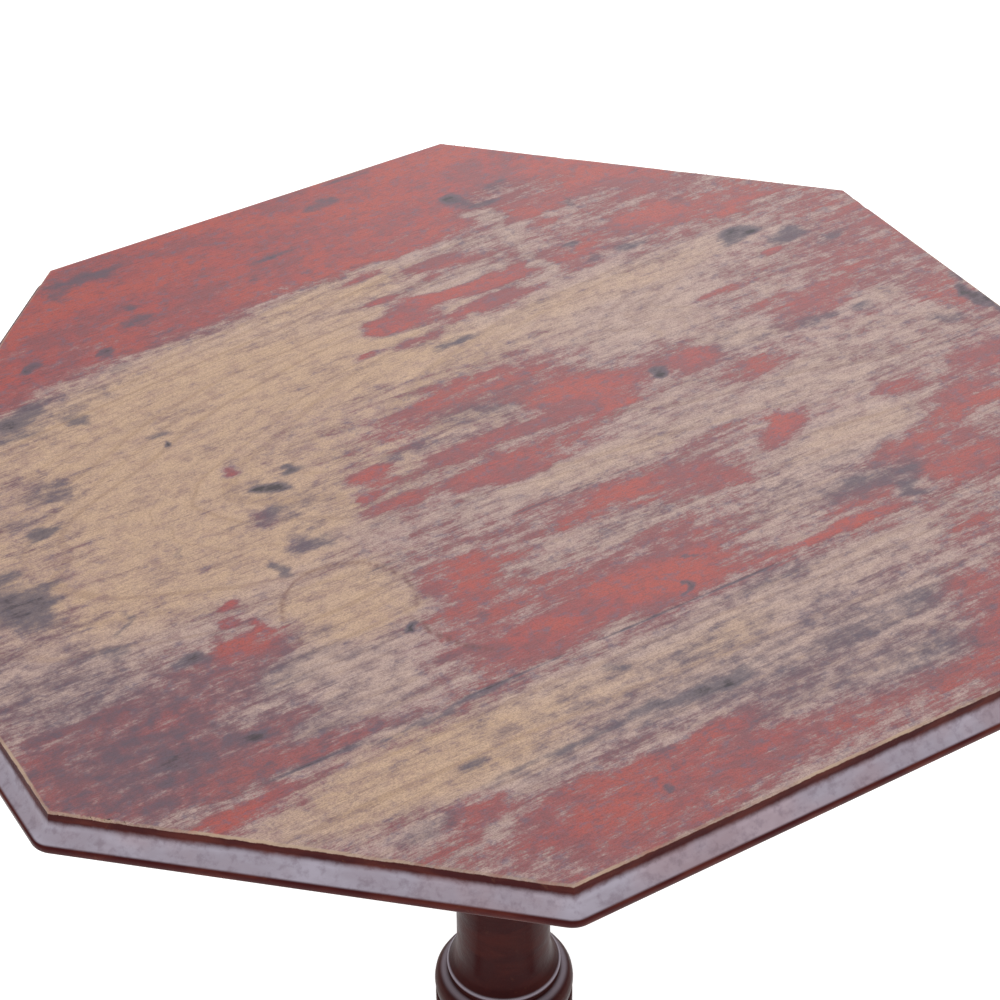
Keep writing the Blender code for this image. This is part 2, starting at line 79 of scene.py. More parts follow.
SHOULDER_Z = 0.6524
TENON_SUNK = 0.0004             # the wedge stands a little proud of the tenon's end
DRUM_RADIUS = 0.0552
DRUM_BOTTOM_Z = 0.0550
RING_Z = SHOULDER_Z - 0.0335    # the half-round under the column's cap
# Heights of the dust with a painted highlight on the column's bead and rim
BEAD_DUST_AND_SHEEN_Z, RIM_DUST_AND_SHEEN_Z = 0.2054, 0.1966
DRUM_EDGE_Z = 0.1690
COLUMN_STEPS = 128
LEG_ANGLES = (("leg_back", 60), ("leg_left", 180), ("leg_right", 300))
LEG_SECTION_POINTS = 40
LEG_SKIN = 0.0016               # voxel size of the carved legs
FOOT_CENTRE = 0.315

# ---- studio, in metres, degrees and watts, the lens in millimetres
CAMERA_LENS = 93.598
CAMERA_AZIMUTH, CAMERA_ELEVATION, CAMERA_ROLL = -121.325, 39.056, -0.630
CAMERA_TARGET = (-0.0273, -0.0467, TOP_Z)
CAMERA_DISTANCE = 1.7133
LIGHT_TARGET = (0, 0, 0.6)
# Each softbox: (name, size, power, azimuth, elevation, distance)
SOFTBOXES = (("overhead_softbox", 1.3, 6, -60, 80, 2.1), ("right_softbox", 1.4, 14, 48, 30, 2.2))

# ---- where the paint is left on the top
# Each touch is (x, y, half length, half width, value), in millimetres:
# the later ones lie over the earlier. 1 is sound red, about 0.4 a worn film, 0 bare wood.
PAINT_START = 0.47
PAINT_TOUCHES = (
    # back board: sound paint, thinner towards the right
    (20, 318, 360, 88, 1), (-100, 240, 150, 12, 0.9), (-270, 235, 75, 45, 0.95), (-215, 212, 40, 14, 0.85),
    (-280, 185, 40, 20, 0.72), (-165, 205, 20, 10, 0.62), (250, 245, 75, 55, 0.95),
    (330, 180, 80, 45, 0.62), (380, 115, 35, 50, 0.62), (215, 222, 30, 16, 0.55), (175, 268, 45, 16, 0.6),
    (140, 250, 12, 14, 0.3),
    # pale worn wood across the left and the middle of the wide board
    (-120, 175, 200, 48, 0.02), (-230, 75, 130, 100, 0.06), (-300, 0, 80, 60, 0.12), (-180, 0, 80, 45, 0.1),
    (0, 222, 75, 18, 0.06), (-50, 130, 100, 30, 0.04), (-330, 130, 50, 50, 0.14), (110, 225, 50, 12, 0.32),
    # red islands in the upper middle
    (8, 166, 18, 9, 0.95), (40, 174, 18, 16, 1), (92, 174, 55, 10, 1), (82, 149, 40, 8, 1),
    (18, 138, 20, 6, 0.75), (25, 195, 12, 6, 0.9), (78, 214, 30, 9, 0.9), (-22, 140, 14, 4, 0.85),
    (175, 170, 30, 18, 0.7), (245, 186, 32, 13, 0.92), (300, 170, 45, 16, 0.78), (65, 190, 30, 4, 0.2),
    (145, 195, 7, 45, 0.26), (215, 205, 45, 10, 0.55), (20, 228, 20, 6, 0.7),
    # bare streaks to the right of the middle
    (140, 121, 110, 20, 0.05), (250, 128, 60, 14, 0.22), (180, 78, 70, 32, 0.12), (30, 103, 80, 12, 0.22),
    (-30, 90, 80, 12, 0.3), (310, 150, 50, 6, 0.45), (300, 85, 50, 30, 0.44), (250, 60, 40, 18, 0.4),
    (290, 97, 10, 4, 0.95), (235, 73, 20, 4, 0.7), (350, 60, 50, 30, 0.68), (220, 22, 35, 14, 0.14),
    (290, 30, 40, 18, 0.82), (335, 30, 30, 14, 0.62), (345, 5, 30, 10, 0.32), (375, -18, 22, 30, 0.72),
    (395, 60, 12, 50, 0.75),
    # red in the middle of the top
    (15, 67, 75, 14, 0.74), (-40, 55, 30, 12, 0.68), (60, 45, 40, 12, 0.7), (25, 35, 22, 7, 0.28),
    (-10, 40, 20, 8, 0.36), (92, 22, 40, 16, 1), (-82, 21, 17, 11, 1), (-100, 3, 12, 6, 0.85),
    (20, 12, 50, 7, 0.9), (-25, 6, 15, 6, 0.85), (0, -20, 42, 13, 1), (-83, -12, 22, 6, 0.8),
    (175, 16, 22, 11, 0.92), (55, -12, 45, 10, 0.66), (130, -10, 50, 10, 0.34), (205, -22, 26, 12, 0.78),
    (180, -36, 8, 30, 0.62), (85, -3, 20, 6, 0.9),
    # pale streak under it
    (60, -48, 110, 12, 0.18), (125, -28, 45, 8, 0.26), (245, -48, 85, 24, 0.16), (-50, -40, 40, 10, 0.3),
    (320, -40, 50, 22, 0.36), (-90, -48, 30, 12, 0.42),
    # broken red below the middle
    (30, -81, 52, 9, 0.92), (95, -89, 30, 8, 0.85), (172, -82, 20, 16, 1), (105, -110, 34, 11, 0.8),
    (60, -100, 50, 6, 0.7), (50, -120, 50, 9, 0.4), (20, -112, 35, 12, 0.34), (215, -116, 65, 22, 0.09),
    (135, -130, 20, 14, 0.26), (272, -86, 18, 7, 0.75), (345, -90, 30, 16, 0.9), (305, -122, 40, 18, 0.84),
    (-35, -75, 40, 12, 0.52), (145, -72, 14, 8, 0.5),
    # the large red areas over the seam
    (-85, -100, 30, 18, 0.92), (-105, -150, 34, 44, 0.74), (-45, -135, 40, 26, 0.66),
    (-65, -172, 40, 18, 0.95), (-35, -118, 30, 8, 0.34), (20, -168, 58, 24, 1), (45, -140, 40, 12, 0.72),
    (140, -190, 70, 4.5, 0.95), (180, -172, 34, 10, 0.74), (110, -166, 45, 8, 0.36),
    (-30, -192, 14, 6, 0.4), (245, -148, 45, 14, 0.76), (250, -180, 50, 16, 0.82), (140, -150, 40, 7, 0.3),
    (210, -182, 16, 14, 0.48),
    # around the pot's ring, and the dirty red to the left
    (-350, -20, 40, 60, 0.34), (-300, 45, 30, 30, 0.26), (-315, 120, 35, 40, 0.34),
    (-310, -100, 90, 30, 0.44), (-270, -98, 70, 14, 0.66), (-235, -86, 25, 10, 0.86),
    (-335, -135, 85, 40, 0.8), (-290, -168, 75, 20, 0.8), (-250, -186, 70, 7, 0.85),
    (-380, -120, 22, 30, 0.84), (-205, -125, 40, 13, 0.12), (-185, -155, 40, 24, 0.2),
    (-250, -140, 30, 10, 0.46), (-170, -118, 16, 6, 0.62), (-150, -170, 10, 30, 0.52),
    (-230, -168, 24, 10, 0.36), (-163, -82, 40, 36, 0.03), (-135, -100, 14, 14, 0.24),
    (-228, -43, 7, 4, 0.95), (-234, -57, 9, 4, 0.92), (-218, -71, 6, 10, 0.88), (-162, 74, 7, 5, 0.95),
    (-165, 20, 10, 10, 0.52), (-155, -20, 12, 10, 0.46),
    # front board
    (-300, -212, 34, 12, 0.85), (-215, -236, 80, 24, 0.04), (-120, -226, 100, 18, 0.07),
    (-150, -262, 50, 16, 0.05), (10, -228, 110, 18, 0.14), (130, -222, 90, 14, 0.22),
    (10, -262, 90, 14, 0.2), (105, -272, 80, 22, 0.3), (-215, -275, 36, 12, 0.42),
    (-186, -284, 20, 13, 0.84), (-215, -305, 30, 12, 0.5), (-170, -300, 12, 4, 0.1),
    (-110, -320, 80, 20, 0.8), (-30, -326, 70, 20, 0.86), (-35, -299, 32, 6, 0.92),
    (-110, -298, 60, 6, 0.8), (-100, -348, 110, 10, 0.72), (70, -338, 70, 16, 0.68),
    (150, -340, 40, 20, 0.72), (60, -305, 60, 10, 0.4), (130, -312, 35, 10, 0.34), (230, -235, 30, 12, 0.8),
    (190, -275, 30, 12, 0.78), (260, -230, 50, 30, 0.5), (200, -320, 50, 30, 0.85),
)
# Dark, bluish grime and spills, and broad painted shade, as (x, y, half length, half width, strength)
STAIN_AND_SHADE_TOUCHES = (
    # broad darker areas first, partly dull grime and partly painted shade, most towards the front and the
    # left, then the separate spots
    (-350, -60, 60, 60, 0.36), (-310, -135, 110, 55, 0.58), (-220, -125, 70, 30, 0.36),
    (-230, -185, 90, 18, 0.4), (20, -262, 180, 54, 0.36), (-100, -228, 60, 12, 0.26),
    (-240, 200, 50, 22, 0.32), (-300, 110, 40, 50, 0.22), (-155, 20, 30, 50, 0.26), (220, 15, 50, 20, 0.22),
    (170, -150, 70, 30, 0.3), (100, -315, 70, 24, 0.42), (-150, -150, 60, 30, 0.24),
    (-350, 20, 40, 40, 0.24), (-170, 228, 80, 12, 0.22),
    (30, -110, 50, 12, 0.22), (-20, 30, 60, 14, 0.24), (-155, 336, 30, 10, 0.6), (-175, 325, 14, 8, 0.55),
    (50, 334, 18, 7, 0.6), (80, 355, 20, 3, 0.6), (-230, 257, 8, 7, 0.75), (-138, 268, 12, 6, 0.55),
    (-142, 290, 10, 6, 0.5), (-175, 243, 9, 6, 0.75), (-258, 204, 12, 7, 0.85), (-245, 210, 7, 8, 0.7),
    (-266, 188, 16, 9, 0.6), (-20, 291, 30, 3.5, 0.6), (-45, 270, 10, 5, 0.45), (135, 283, 12, 12, 0.8),
    (155, 268, 16, 6, 0.7), (180, 286, 10, 8, 0.5), (214, 236, 4, 14, 0.6), (-220, 181, 9, 6, 0.7),
    (-175, 222, 12, 6, 0.5), (-335, 20, 18, 24, 0.75), (-330, 55, 10, 8, 0.6), (-304, 85, 9, 5, 0.85),
    (-275, 118, 18, 12, 0.45), (-310, 100, 12, 8, 0.4), (-148, 49, 8, 7, 1), (-125, 58, 7, 3.5, 0.9),
    (-186, 125, 3, 2.5, 1), (-184, 138, 7, 3, 0.55), (-155, -18, 14, 10, 0.6), (-184, -30, 5, 10, 0.7),
    (-230, 20, 3, 10, 0.5), (-306, -48, 10, 5, 0.6), (-165, 20, 9, 8, 0.5), (-287, -25, 4, 12, 0.55),
    (292, 127, 16, 9, 0.8), (325, 107, 18, 10, 0.65), (345, 88, 16, 7, 0.6), (218, 158, 12, 7, 0.65),
    (183, 183, 9, 6, 0.8), (190, 160, 8, 5, 0.55), (275, 190, 12, 6, 0.45), (148, 14, 7, 5, 0.95),
    (20, 50, 60, 12, 0.38), (-40, 30, 30, 7, 0.4), (35, 124, 16, 5, 0.5), (393, -30, 6, 24, 0.9),
    (390, 0, 6, 8, 0.6), (275, 6, 18, 6, 0.55), (305, 4, 10, 6, 0.6), (270, -20, 12, 4, 0.4),
    (355, -40, 12, 10, 0.45), (-360, -130, 22, 12, 0.6), (-315, -152, 12, 8, 0.85), (-265, -158, 8, 4, 0.9),
    (-268, -78, 10, 5, 0.8), (-340, -105, 20, 6, 0.45), (-290, -120, 40, 6, 0.4), (-137, -122, 3.5, 3, 1),
    (21, -184, 3, 4, 0.9), (45, -158, 6, 5, 0.7), (-100, -140, 10, 6, 0.35), (195, -160, 36, 12, 0.62),
    (215, -180, 12, 12, 0.6), (165, -160, 10, 6, 0.45), (-20, -267, 32, 5, 0.85), (-55, -263, 8, 3, 0.8),
    (105, -275, 50, 10, 0.45), (145, -268, 20, 8, 0.5), (-120, -266, 60, 2.5, 0.6), (-50, -221, 4, 6, 0.55),
    (-164, -246, 9, 6, 0.5), (55, -300, 40, 8, 0.4), (110, -312, 20, 10, 0.5), (-215, -278, 24, 8, 0.5),
    (-79, -323, 5, 6, 0.8), (5, -280, 30, 6, 0.45), (70, -205, 60, 5, 0.4), (-160, -199, 60, 2.5, 0.65),
)
# Warm, golden wood against the greyer rest, in the same form
WARM_TOUCHES = (
    (-160, 110, 230, 120, 1), (-240, 20, 130, 60, 0.85), (-160, -80, 50, 40, 0.8),
    (-190, -235, 110, 35, 0.85), (160, 122, 110, 20, 0.55), (0, 222, 60, 20, 0.7), (-20, -235, 80, 18, 0.5),
    (60, -48, 80, 14, 0.45), (220, -116, 60, 20, 0.3),
)
UNDERSIDE_TONES = {"front_board": 0.10, "narrow_board": 0.45, "wide_board": 0.0, "back_board": 0.30}
# Rings left by hot pots: (x, y, radius, first and last angle), in metres and degrees
RING_MARKS = ((-0.163, -0.086, 0.0425, -40, 205), (-0.060, -0.112, 0.0740, 172, 236))


# ---- smooth noise
def lattice(ix, iy, seed):
    """A repeatable value from 0 to 1 for each whole-numbered grid point."""
    mixed = (ix * 374761393 + iy * 668265263 + seed * 974634777) & 0xFFFFFFFF
    mixed = ((mixed ^ (mixed >> 13)) * 1274126177) & 0xFFFFFFFF
    return ((mixed ^ (mixed >> 16)) & 0xFFFF) / 65535.0


def smooth_noise(x, y, seed):
    ix, iy = np.floor(x).astype(np.int64), np.floor(y).astype(np.int64)
    fx, fy = x - ix, y - iy
    fx, fy = fx * fx * (3 - 2 * fx), fy * fy * (3 - 2 * fy)
    low = lattice(ix, iy, seed) * (1 - fx) + lattice(ix + 1, iy, seed) * fx
    high = lattice(ix, iy + 1, seed) * (1 - fx) + lattice(ix + 1, iy + 1, seed) * fx
    return low * (1 - fy) + high * fy - 0.5


def fractal_noise(x, y, seed, octaves=3):
    total, strength = 0, 1.0
    for octave in range(octaves):
        total = total + strength * smooth_noise(x * 2 ** octave, y * 2 ** octave, seed + octave)
        strength *= 0.55
    return total


def smoothstep(low, high, value):
    t = np.clip((value - low) / (high - low), 0, 1)
    return t * t * (3 - 2 * t)


def painted(x, y, start, touches, soft=0.62, seed=11):
    """Lays the touches over each other; their edges are torn along the grain by noise."""
    warped_x = x + 0.018 * fractal_noise(x * 26, y * 60, seed, 4)
    warped_y = y + 0.0080 * fractal_noise(x * 30, y * 95, seed + 7, 4)
    value = np.full_like(x, start)
    for touch_x, touch_y, length, width, strength in touches:
        away = np.hypot((warped_x * 1000 - touch_x) / length, (warped_y * 1000 - touch_y) / width)
        value = value + (strength - value) * (1 - smoothstep(1 - soft, 1 + soft, away))
    return value


# ---- making objects
def new_mesh(name, bm):
    mesh = bpy.data.meshes.new(name)
    bm.to_mesh(mesh)
    bm.free()
    return mesh


def new_object(name, data):
    obj = bpy.data.objects.new(name, data)
    bpy.context.scene.collection.objects.link(obj)
    return obj


def add_piece(name, mesh, body, material, replaced):
    """A visual piece that rides on a body in the place of CAD nodes."""
    obj = new_object(name, mesh)
    mesh.materials.append(material)
    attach(obj, body)
    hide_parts(*replaced)


def finish_mesh(name, bm, sharp_degrees=32):
    bmesh.ops.recalc_face_normals(bm, faces=bm.faces)
    mesh = new_mesh(name, bm)
    mesh.shade_smooth()
    mesh.set_sharp_from_angle(angle=math.radians(sharp_degrees))
    return mesh


def vertex_positions(mesh):
    flat = np.zeros(len(mesh.vertices) * 3, np.float32)
    mesh.vertices.foreach_get("co", flat)
    return flat.reshape(-1, 3).astype(float)


def store(mesh, name, values):
    attribute = mesh.attributes.new(name, "FLOAT", "POINT")
    attribute.data.foreach_set("value", np.asarray(values, np.float32))


# ---- the eight-sided top
def side_normal(points, i):
    """The unit vector out of one side of a clockwise outline."""
    along = (points[(i + 1) % len(points)] - points[i]).normalized()
    return Vector((-along.y, along.x))


def moved_outline(points, distances):
    """Each side of the outline moved out by its own distance, the corners mitred."""
    lines = []
    for i, start in enumerate(points):
        along = (points[(i + 1) % len(points)] - start).normalized()
        lines.append((start + side_normal(points, i) * distances[i], along))
    corners = []
    for i in range(len(points)):
        (point_a, along_a), (point_b, along_b) = lines[i - 1], lines[i]
        t = (point_b - point_a).cross(along_b) / along_a.cross(along_b)
        corners.append(point_a + along_a * t)
    return corners


def board_outline(low_y, high_y):
    """The octagon between two planes across Y, clockwise, and which sides are moulded."""
    points = [Vector(corner) for corner in CORNERS]
    moulded = [True] * len(points)
    for plane_y, keep in ((low_y, 1), (high_y, -1)):
        kept, sides = [], []
        for i, here in enumerate(points):
            after = points[(i + 1) % len(points)]
            inside_here = (here.y - plane_y) * keep > 0
            inside_after = (after.y - plane_y) * keep > 0
            if inside_here:
                kept.append(here)
                sides.append(moulded[i])
            if inside_here != inside_after:
                t = (plane_y - here.y) / (after.y - here.y)
                kept.append(here.lerp(after, t))
                sides.append(moulded[i] if inside_after else False)
        points, moulded = kept, sides
    return points, moulded


def edge_profile():
    """The moulding below the arris: overhang, drop and corner rounding of each level."""
    cove = LIP_OVERHANG - 0.0009
    lip_top = TOP_THICKNESS - LIP_HEIGHT
    centre_drop = lip_top - cove
    levels = [(-ARRIS_INSET * 0.72, 0.00002, 0.0), (-ARRIS_INSET * 0.38, 0.00016, 0.0)]
    levels += [(-0.0001, 0.00050, 0.0), (0.0001, 0.0011, 0.0)]
    levels += [(0.0003, ARRIS_DROP * 0.6, 0.0), (0.0006, ARRIS_DROP, 0.0)]
    for step in range(11):
        angle = math.radians(176 - 79 * step / 10)
        overhang = LIP_OVERHANG - 0.0002 + cove * math.cos(angle)
        drop = centre_drop + cove * math.sin(angle)
        levels.append((overhang, drop, max(0.0, overhang / LIP_OVERHANG) ** 2))
    rounding = 0.0014
    for base, angles in ((lip_top + rounding, (70, 40, 10)), (TOP_THICKNESS - rounding, (-10, -50, -90))):
        for angle in angles:
            turn = math.radians(angle)
            overhang = LIP_OVERHANG - rounding + rounding * math.cos(turn)
            levels.append((overhang, base - rounding * math.sin(turn), 1.0))
    return levels


def place_on_side(point, outline):
    """Which side of the outline the point is nearest to, and how far along it."""
    best = None
    for i, start in enumerate(outline):
        along = outline[(i + 1) % len(outline)] - start
        t = min(1.0, max(0.0, (point - start).dot(along) / along.length_squared))
        away = (start + along * t - point).length
        if best is None or away < best[0] - 1e-7:
            best = (away, i, t)
    return best[1], best[2]


def rounded_corner(point, outline, moulded, side, radius):
    """Moves a point near a moulded corner onto the arc that rounds that corner."""
    for corner, other in ((side, side - 1), ((side + 1) % len(outline), (side + 1) % len(outline))):
        if radius < 1e-6 or not (moulded[side] and moulded[other]):
            continue
        tip = outline[corner]
        before, after = outline[corner - 1], outline[(corner + 1) % len(outline)]
        to_before, to_after = (before - tip).normalized(), (after - tip).normalized()
        half_turn = (math.pi - to_before.angle(to_after)) / 2
        reach = radius * math.tan(half_turn)
        gone = (point - tip).length
        if gone >= reach:
            continue
        inward = (to_before + to_after).normalized()
        centre = tip + inward * (radius / math.cos(half_turn))
        sign = 1 if (point - tip).dot(to_after) > (point - tip).dot(to_before) else -1
        swing = sign * half_turn * gone / reach
        spoke = -inward
        return centre + Vector((spoke.x * math.cos(swing) + spoke.y * math.sin(swing),
                                spoke.y * math.cos(swing) - spoke.x * math.sin(swing))) * radius
    return point


def top_sheet(bm, outline):
    """A fine flat grid cut to the outline; gives its rim's vertices in order."""
    low = [min(p[k] for p in outline) for k in (0, 1)]
    high = [max(p[k] for p in outline) for k in (0, 1)]
    counts = [math.ceil((high[k] - low[k]) / GRID_STEP[k]) + 1 for k in (0, 1)]
    xs = np.linspace(low[0], high[0], counts[0])
    ys = np.linspace(low[1], high[1], counts[1])
    rows = [[bm.verts.new((x, y, TOP_Z)) for x in xs] for y in ys]
    for lower, upper in zip(rows, rows[1:]):
        for i in range(len(xs) - 1):
            bm.faces.new((lower[i], lower[i + 1], upper[i + 1], upper[i]))
    for i, start in enumerate(outline):
        along = outline[(i + 1) % len(outline)] - start
        outward = (-along.y, along.x, 0)
        bmesh.ops.bisect_plane(bm, geom=bm.verts[:] + bm.edges[:] + bm.faces[:], dist=GRID_STEP[1] * 0.1,
                               plane_co=(*start, 0), plane_no=outward, clear_outer=True)
    near = []
    for edge in bm.edges:
        middle = ((edge.verts[0].co + edge.verts[1].co) / 2).to_2d()
        if edge.is_boundary and any((middle - tip).length < LIP_CORNER_RADIUS for tip in outline):
            near.append(edge)
    bmesh.ops.subdivide_edges(bm, edges=near, cuts=3)
    start = next(edge for edge in bm.edges if edge.is_boundary)
    rim = [start.verts[0], start.verts[1]]
    while True:
        following = [e for e in rim[-1].link_edges if e.is_boundary and e.other_vert(rim[-1]) != rim[-2]]
        nearest = following[0].other_vert(rim[-1])
        if nearest == rim[0]:
            return rim
        rim.append(nearest)


def board_mesh(name, low_y, high_y):
    points, moulded = board_outline(low_y + SEAM_GAP, high_y - SEAM_GAP)
    inner = moved_outline(points, [-ARRIS_INSET if side else 0 for side in moulded])
    bm = bmesh.new()
    distance = bm.verts.layers.float.new("edge")
    under = bm.verts.layers.float.new("under")
    rim = top_sheet(bm, inner)
    for vert in bm.verts:
        gaps = [abs((vert.co.to_2d() - points[i]).dot(side_normal(points, i)))
                for i in range(len(points)) if moulded[i]]
        vert[distance] = min(gaps)
    places = [place_on_side(vert.co.to_2d(), inner) for vert in rim]
    previous, run, last = rim, ARRIS_INSET, (-ARRIS_INSET, 0.0)
    for overhang, drop, roundness in edge_profile():
        outline = moved_outline(points, [overhang if side else 0 for side in moulded])
        run -= math.dist((overhang, drop), last)
        last = (overhang, drop)
        ring = []
        for side, t in places:
            spot = outline[side].lerp(outline[(side + 1) % len(outline)], t)
            spot = rounded_corner(spot, outline, moulded, side, LIP_CORNER_RADIUS * roundness)
            vert = bm.verts.new((spot.x, spot.y, TOP_Z - drop))
            vert[distance] = run
            vert[under] = 1.0 if drop >= TOP_THICKNESS - 1e-6 else 0.0
            ring.append(vert)
        for i in range(len(ring)):
            bm.faces.new((previous[i - 1], previous[i], ring[i], ring[i - 1]))
        previous = ring
    bm.faces.new(previous)
    return finish_mesh(name, bm)


def growth_rings(name, x, y):
    """Counts the growth rings across the board: its level lines are the grain."""
    wander = 2.6 * fractal_noise(x * 3.0, y * 9, 31) + 0.7 * fractal_noise(x * 9, y * 34, 37)
    if name == "wide_board":
        across = y - 0.045 - 0.02 * x
        return 46 * x - 1150 * across ** 2 + 2.2 * wander
    slope = {"front_board": 11, "narrow_board": -7, "back_board": 5}[name]
    return 210 * y + slope * x + 1.6 * wander + 35 * (y + 0.1) * x


def uneven(x, y, edge):
    """How far the old surface lies below its highest level."""
    hollow = 0.00012 * (fractal_noise(x * 7, y * 15, 51) + 0.9)
    ripple = 0.00004 * (fractal_noise(x * 30, y * 160, 55) + 0.9)
    along = x * 0.9 + y
    knock = smoothstep(0.30, 0.52, fractal_noise(along * 38, (x - y) * 30, 61, 2))
    chipped = 0.00085 * knock * smoothstep(0.0042, 0.0, np.abs(edge))
    seam = 0
    for seam_y, depth, _ in SEAMS:
        seam = seam + depth * np.exp(-((y - seam_y) / 0.0011) ** 2)
    return hollow + ripple + chipped + seam


def ring_marks(x, y):
    """Thin dark circles, fading at their ends."""
    mark = np.zeros_like(x)
    for centre_x, centre_y, radius, start, end in RING_MARKS:
        away = np.hypot(x - centre_x, y - centre_y) + 0.0010 * fractal_noise(x * 90, y * 90, 71)
        turn = (np.degrees(np.arctan2(y - centre_y, x - centre_x)) - start) % 360
        ends = smoothstep(0, 12, turn) * (1 - smoothstep(end - start - 12, end - start, turn))
        line = np.exp(-((away - radius) / 0.0012) ** 2) * ends
        mark = np.maximum(mark, line * (0.75 + 0.5 * fractal_noise(x * 50, y * 50, 73)))
    return mark


def paint_the_top(mesh, name):
    co = vertex_positions(mesh)
    x, y, z = co.T
    edge = np.zeros(len(mesh.vertices), np.float32)
    mesh.attributes["edge"].data.foreach_get("value", edge)
    edge = edge.astype(float)
    fade = 1 - smoothstep(0.0006, 0.0040, TOP_Z - z)
    co[:, 2] = z - uneven(x, y, edge) * fade
    mesh.vertices.foreach_set("co", co.astype(np.float32).ravel())

    paint = painted(x, y, PAINT_START, PAINT_TOUCHES)
    # stains, spills and broad painted shade towards the front and the left
    stain_and_shade = painted(x, y, 0.0, STAIN_AND_SHADE_TOUCHES, 0.60, 17)
    broken = smoothstep(-0.30, 0.25, fractal_noise(x * 16, y * 2, 83))
    for seam_y, _, strength in SEAMS:
        stain_and_shade = np.maximum(stain_and_shade, strength * broken * np.exp(-((y - seam_y) / 0.0012) ** 2))
    store(mesh, "paint", paint)
    store(mesh, "stain_and_shade", stain_and_shade)
    store(mesh, "warm", painted(x, y, 0.0, WARM_TOUCHES, 0.6, 19))
    store(mesh, "figure", growth_rings(name, x, y))
    store(mesh, "ring", ring_marks(x, y))
    store(mesh, "tone", np.full_like(x, UNDERSIDE_TONES[name]))


# ---- material helpers
class Graph:
    """A material's node tree, with one short call for each kind of node."""

    def __init__(self, name):
        self.material = bpy.data.materials.new(name)
        self.material.use_nodes = True
        self.tree = self.material.node_tree
        self.shader = self.tree.nodes["Principled BSDF"]
        self.place = self.tree.nodes.new("ShaderNodeTexCoord").outputs["Object"]

    def put(self, socket, value):
        if isinstance(value, bpy.types.NodeSocket):
            self.tree.links.new(value, socket)
        elif isinstance(value, tuple) and len(value) == 3 and socket.type == "RGBA":
            socket.default_value = (*value, 1.0)
        else:
            socket.default_value = value

    def math(self, operation, first, second):
        node = self.tree.nodes.new("ShaderNodeMath")
        node.operation = operation
        self.put(node.inputs[0], first)
        self.put(node.inputs[1], second)
        return node.outputs[0]

    def times(self, first, second):
        return self.math("MULTIPLY", first, second)

    def added(self, first, *others):
        for other in others:
            first = self.math("ADD", first, other)
        return first

    def swing(self, value, amount):
        """Noise of about 0.5, made a swing of the given amount about zero."""
        return self.times(self.math("SUBTRACT", value, 0.5), amount)

    def stretch(self, scale):
        """The object's coordinates, times a scale for each axis."""
        node = self.tree.nodes.new("ShaderNodeVectorMath")
        node.operation = "MULTIPLY"
        self.put(node.inputs[0], self.place)
        node.inputs[1].default_value = scale
        return node.outputs[0]

    def noise(self, scale, detail, roughness, distortion=0.0):
        node = self.tree.nodes.new("ShaderNodeTexNoise")
        self.put(node.inputs["Vector"], self.stretch(scale))
        node.inputs["Scale"].default_value = 1.0
        node.inputs["Detail"].default_value = detail
        node.inputs["Roughness"].default_value = roughness
        node.inputs["Distortion"].default_value = distortion
        return node.outputs["Fac"]

    def line_noise(self, value, scale, detail, roughness):
        """Noise along one value, such as a count of growth rings."""
        node = self.tree.nodes.new("ShaderNodeTexNoise")
        node.noise_dimensions = "1D"
        self.put(node.inputs["W"], value)
        node.inputs["Scale"].default_value = scale
        node.inputs["Detail"].default_value = detail
        node.inputs["Roughness"].default_value = roughness
        return node.outputs["Fac"]

    def step(self, low, high, value, out_low=0.0, out_high=1.0):
        """A smooth step from low to high."""
        node = self.tree.nodes.new("ShaderNodeMapRange")
        node.interpolation_type = "SMOOTHSTEP"
        limits = {"From Min": low, "From Max": high, "To Min": out_low, "To Max": out_high}
        for name, number in limits.items():
            node.inputs[name].default_value = number
        self.put(node.inputs["Value"], value)
        return node.outputs["Result"]

    def mix(self, amount, first, second):
        node = self.tree.nodes.new("ShaderNodeMix")
        node.data_type = "RGBA"
        self.put(node.inputs["Factor"], amount)
        self.put(node.inputs["A"], first)
        self.put(node.inputs["B"], second)
        return node.outputs["Result"]

    def tint(self, colour, low, high, value, amount, tone):
        """Lays up to the given amount of a tone over the colour, as the value goes from low to high."""
        return self.mix(self.step(low, high, value, 0.0, amount), colour, tone)

    def attribute(self, name):
        node = self.tree.nodes.new("ShaderNodeAttribute")
        node.attribute_name = name
        return node.outputs["Fac"]

    def bump(self, height, distance, normal=None):
        node = self.tree.nodes.new("ShaderNodeBump")
        node.inputs["Strength"].default_value = 1.0
        node.inputs["Distance"].default_value = distance
        self.put(node.inputs["Height"], height)
        if normal is not None:
            self.put(node.inputs["Normal"], normal)
        return node.outputs["Normal"]

    def surface(self, colour, roughness, normal, metallic=0.0, specular=0.5, coat=0.0, coat_roughness=0.1):
        inputs = self.shader.inputs
        self.put(inputs["Base Color"], colour)
        self.put(inputs["Roughness"], roughness)
        self.put(inputs["Normal"], normal)
        self.put(inputs["Metallic"], metallic)
        self.put(inputs["Specular IOR Level"], specular)
        inputs["Coat Weight"].default_value = coat
        inputs["Coat Roughness"].default_value = coat_roughness
        return self.material


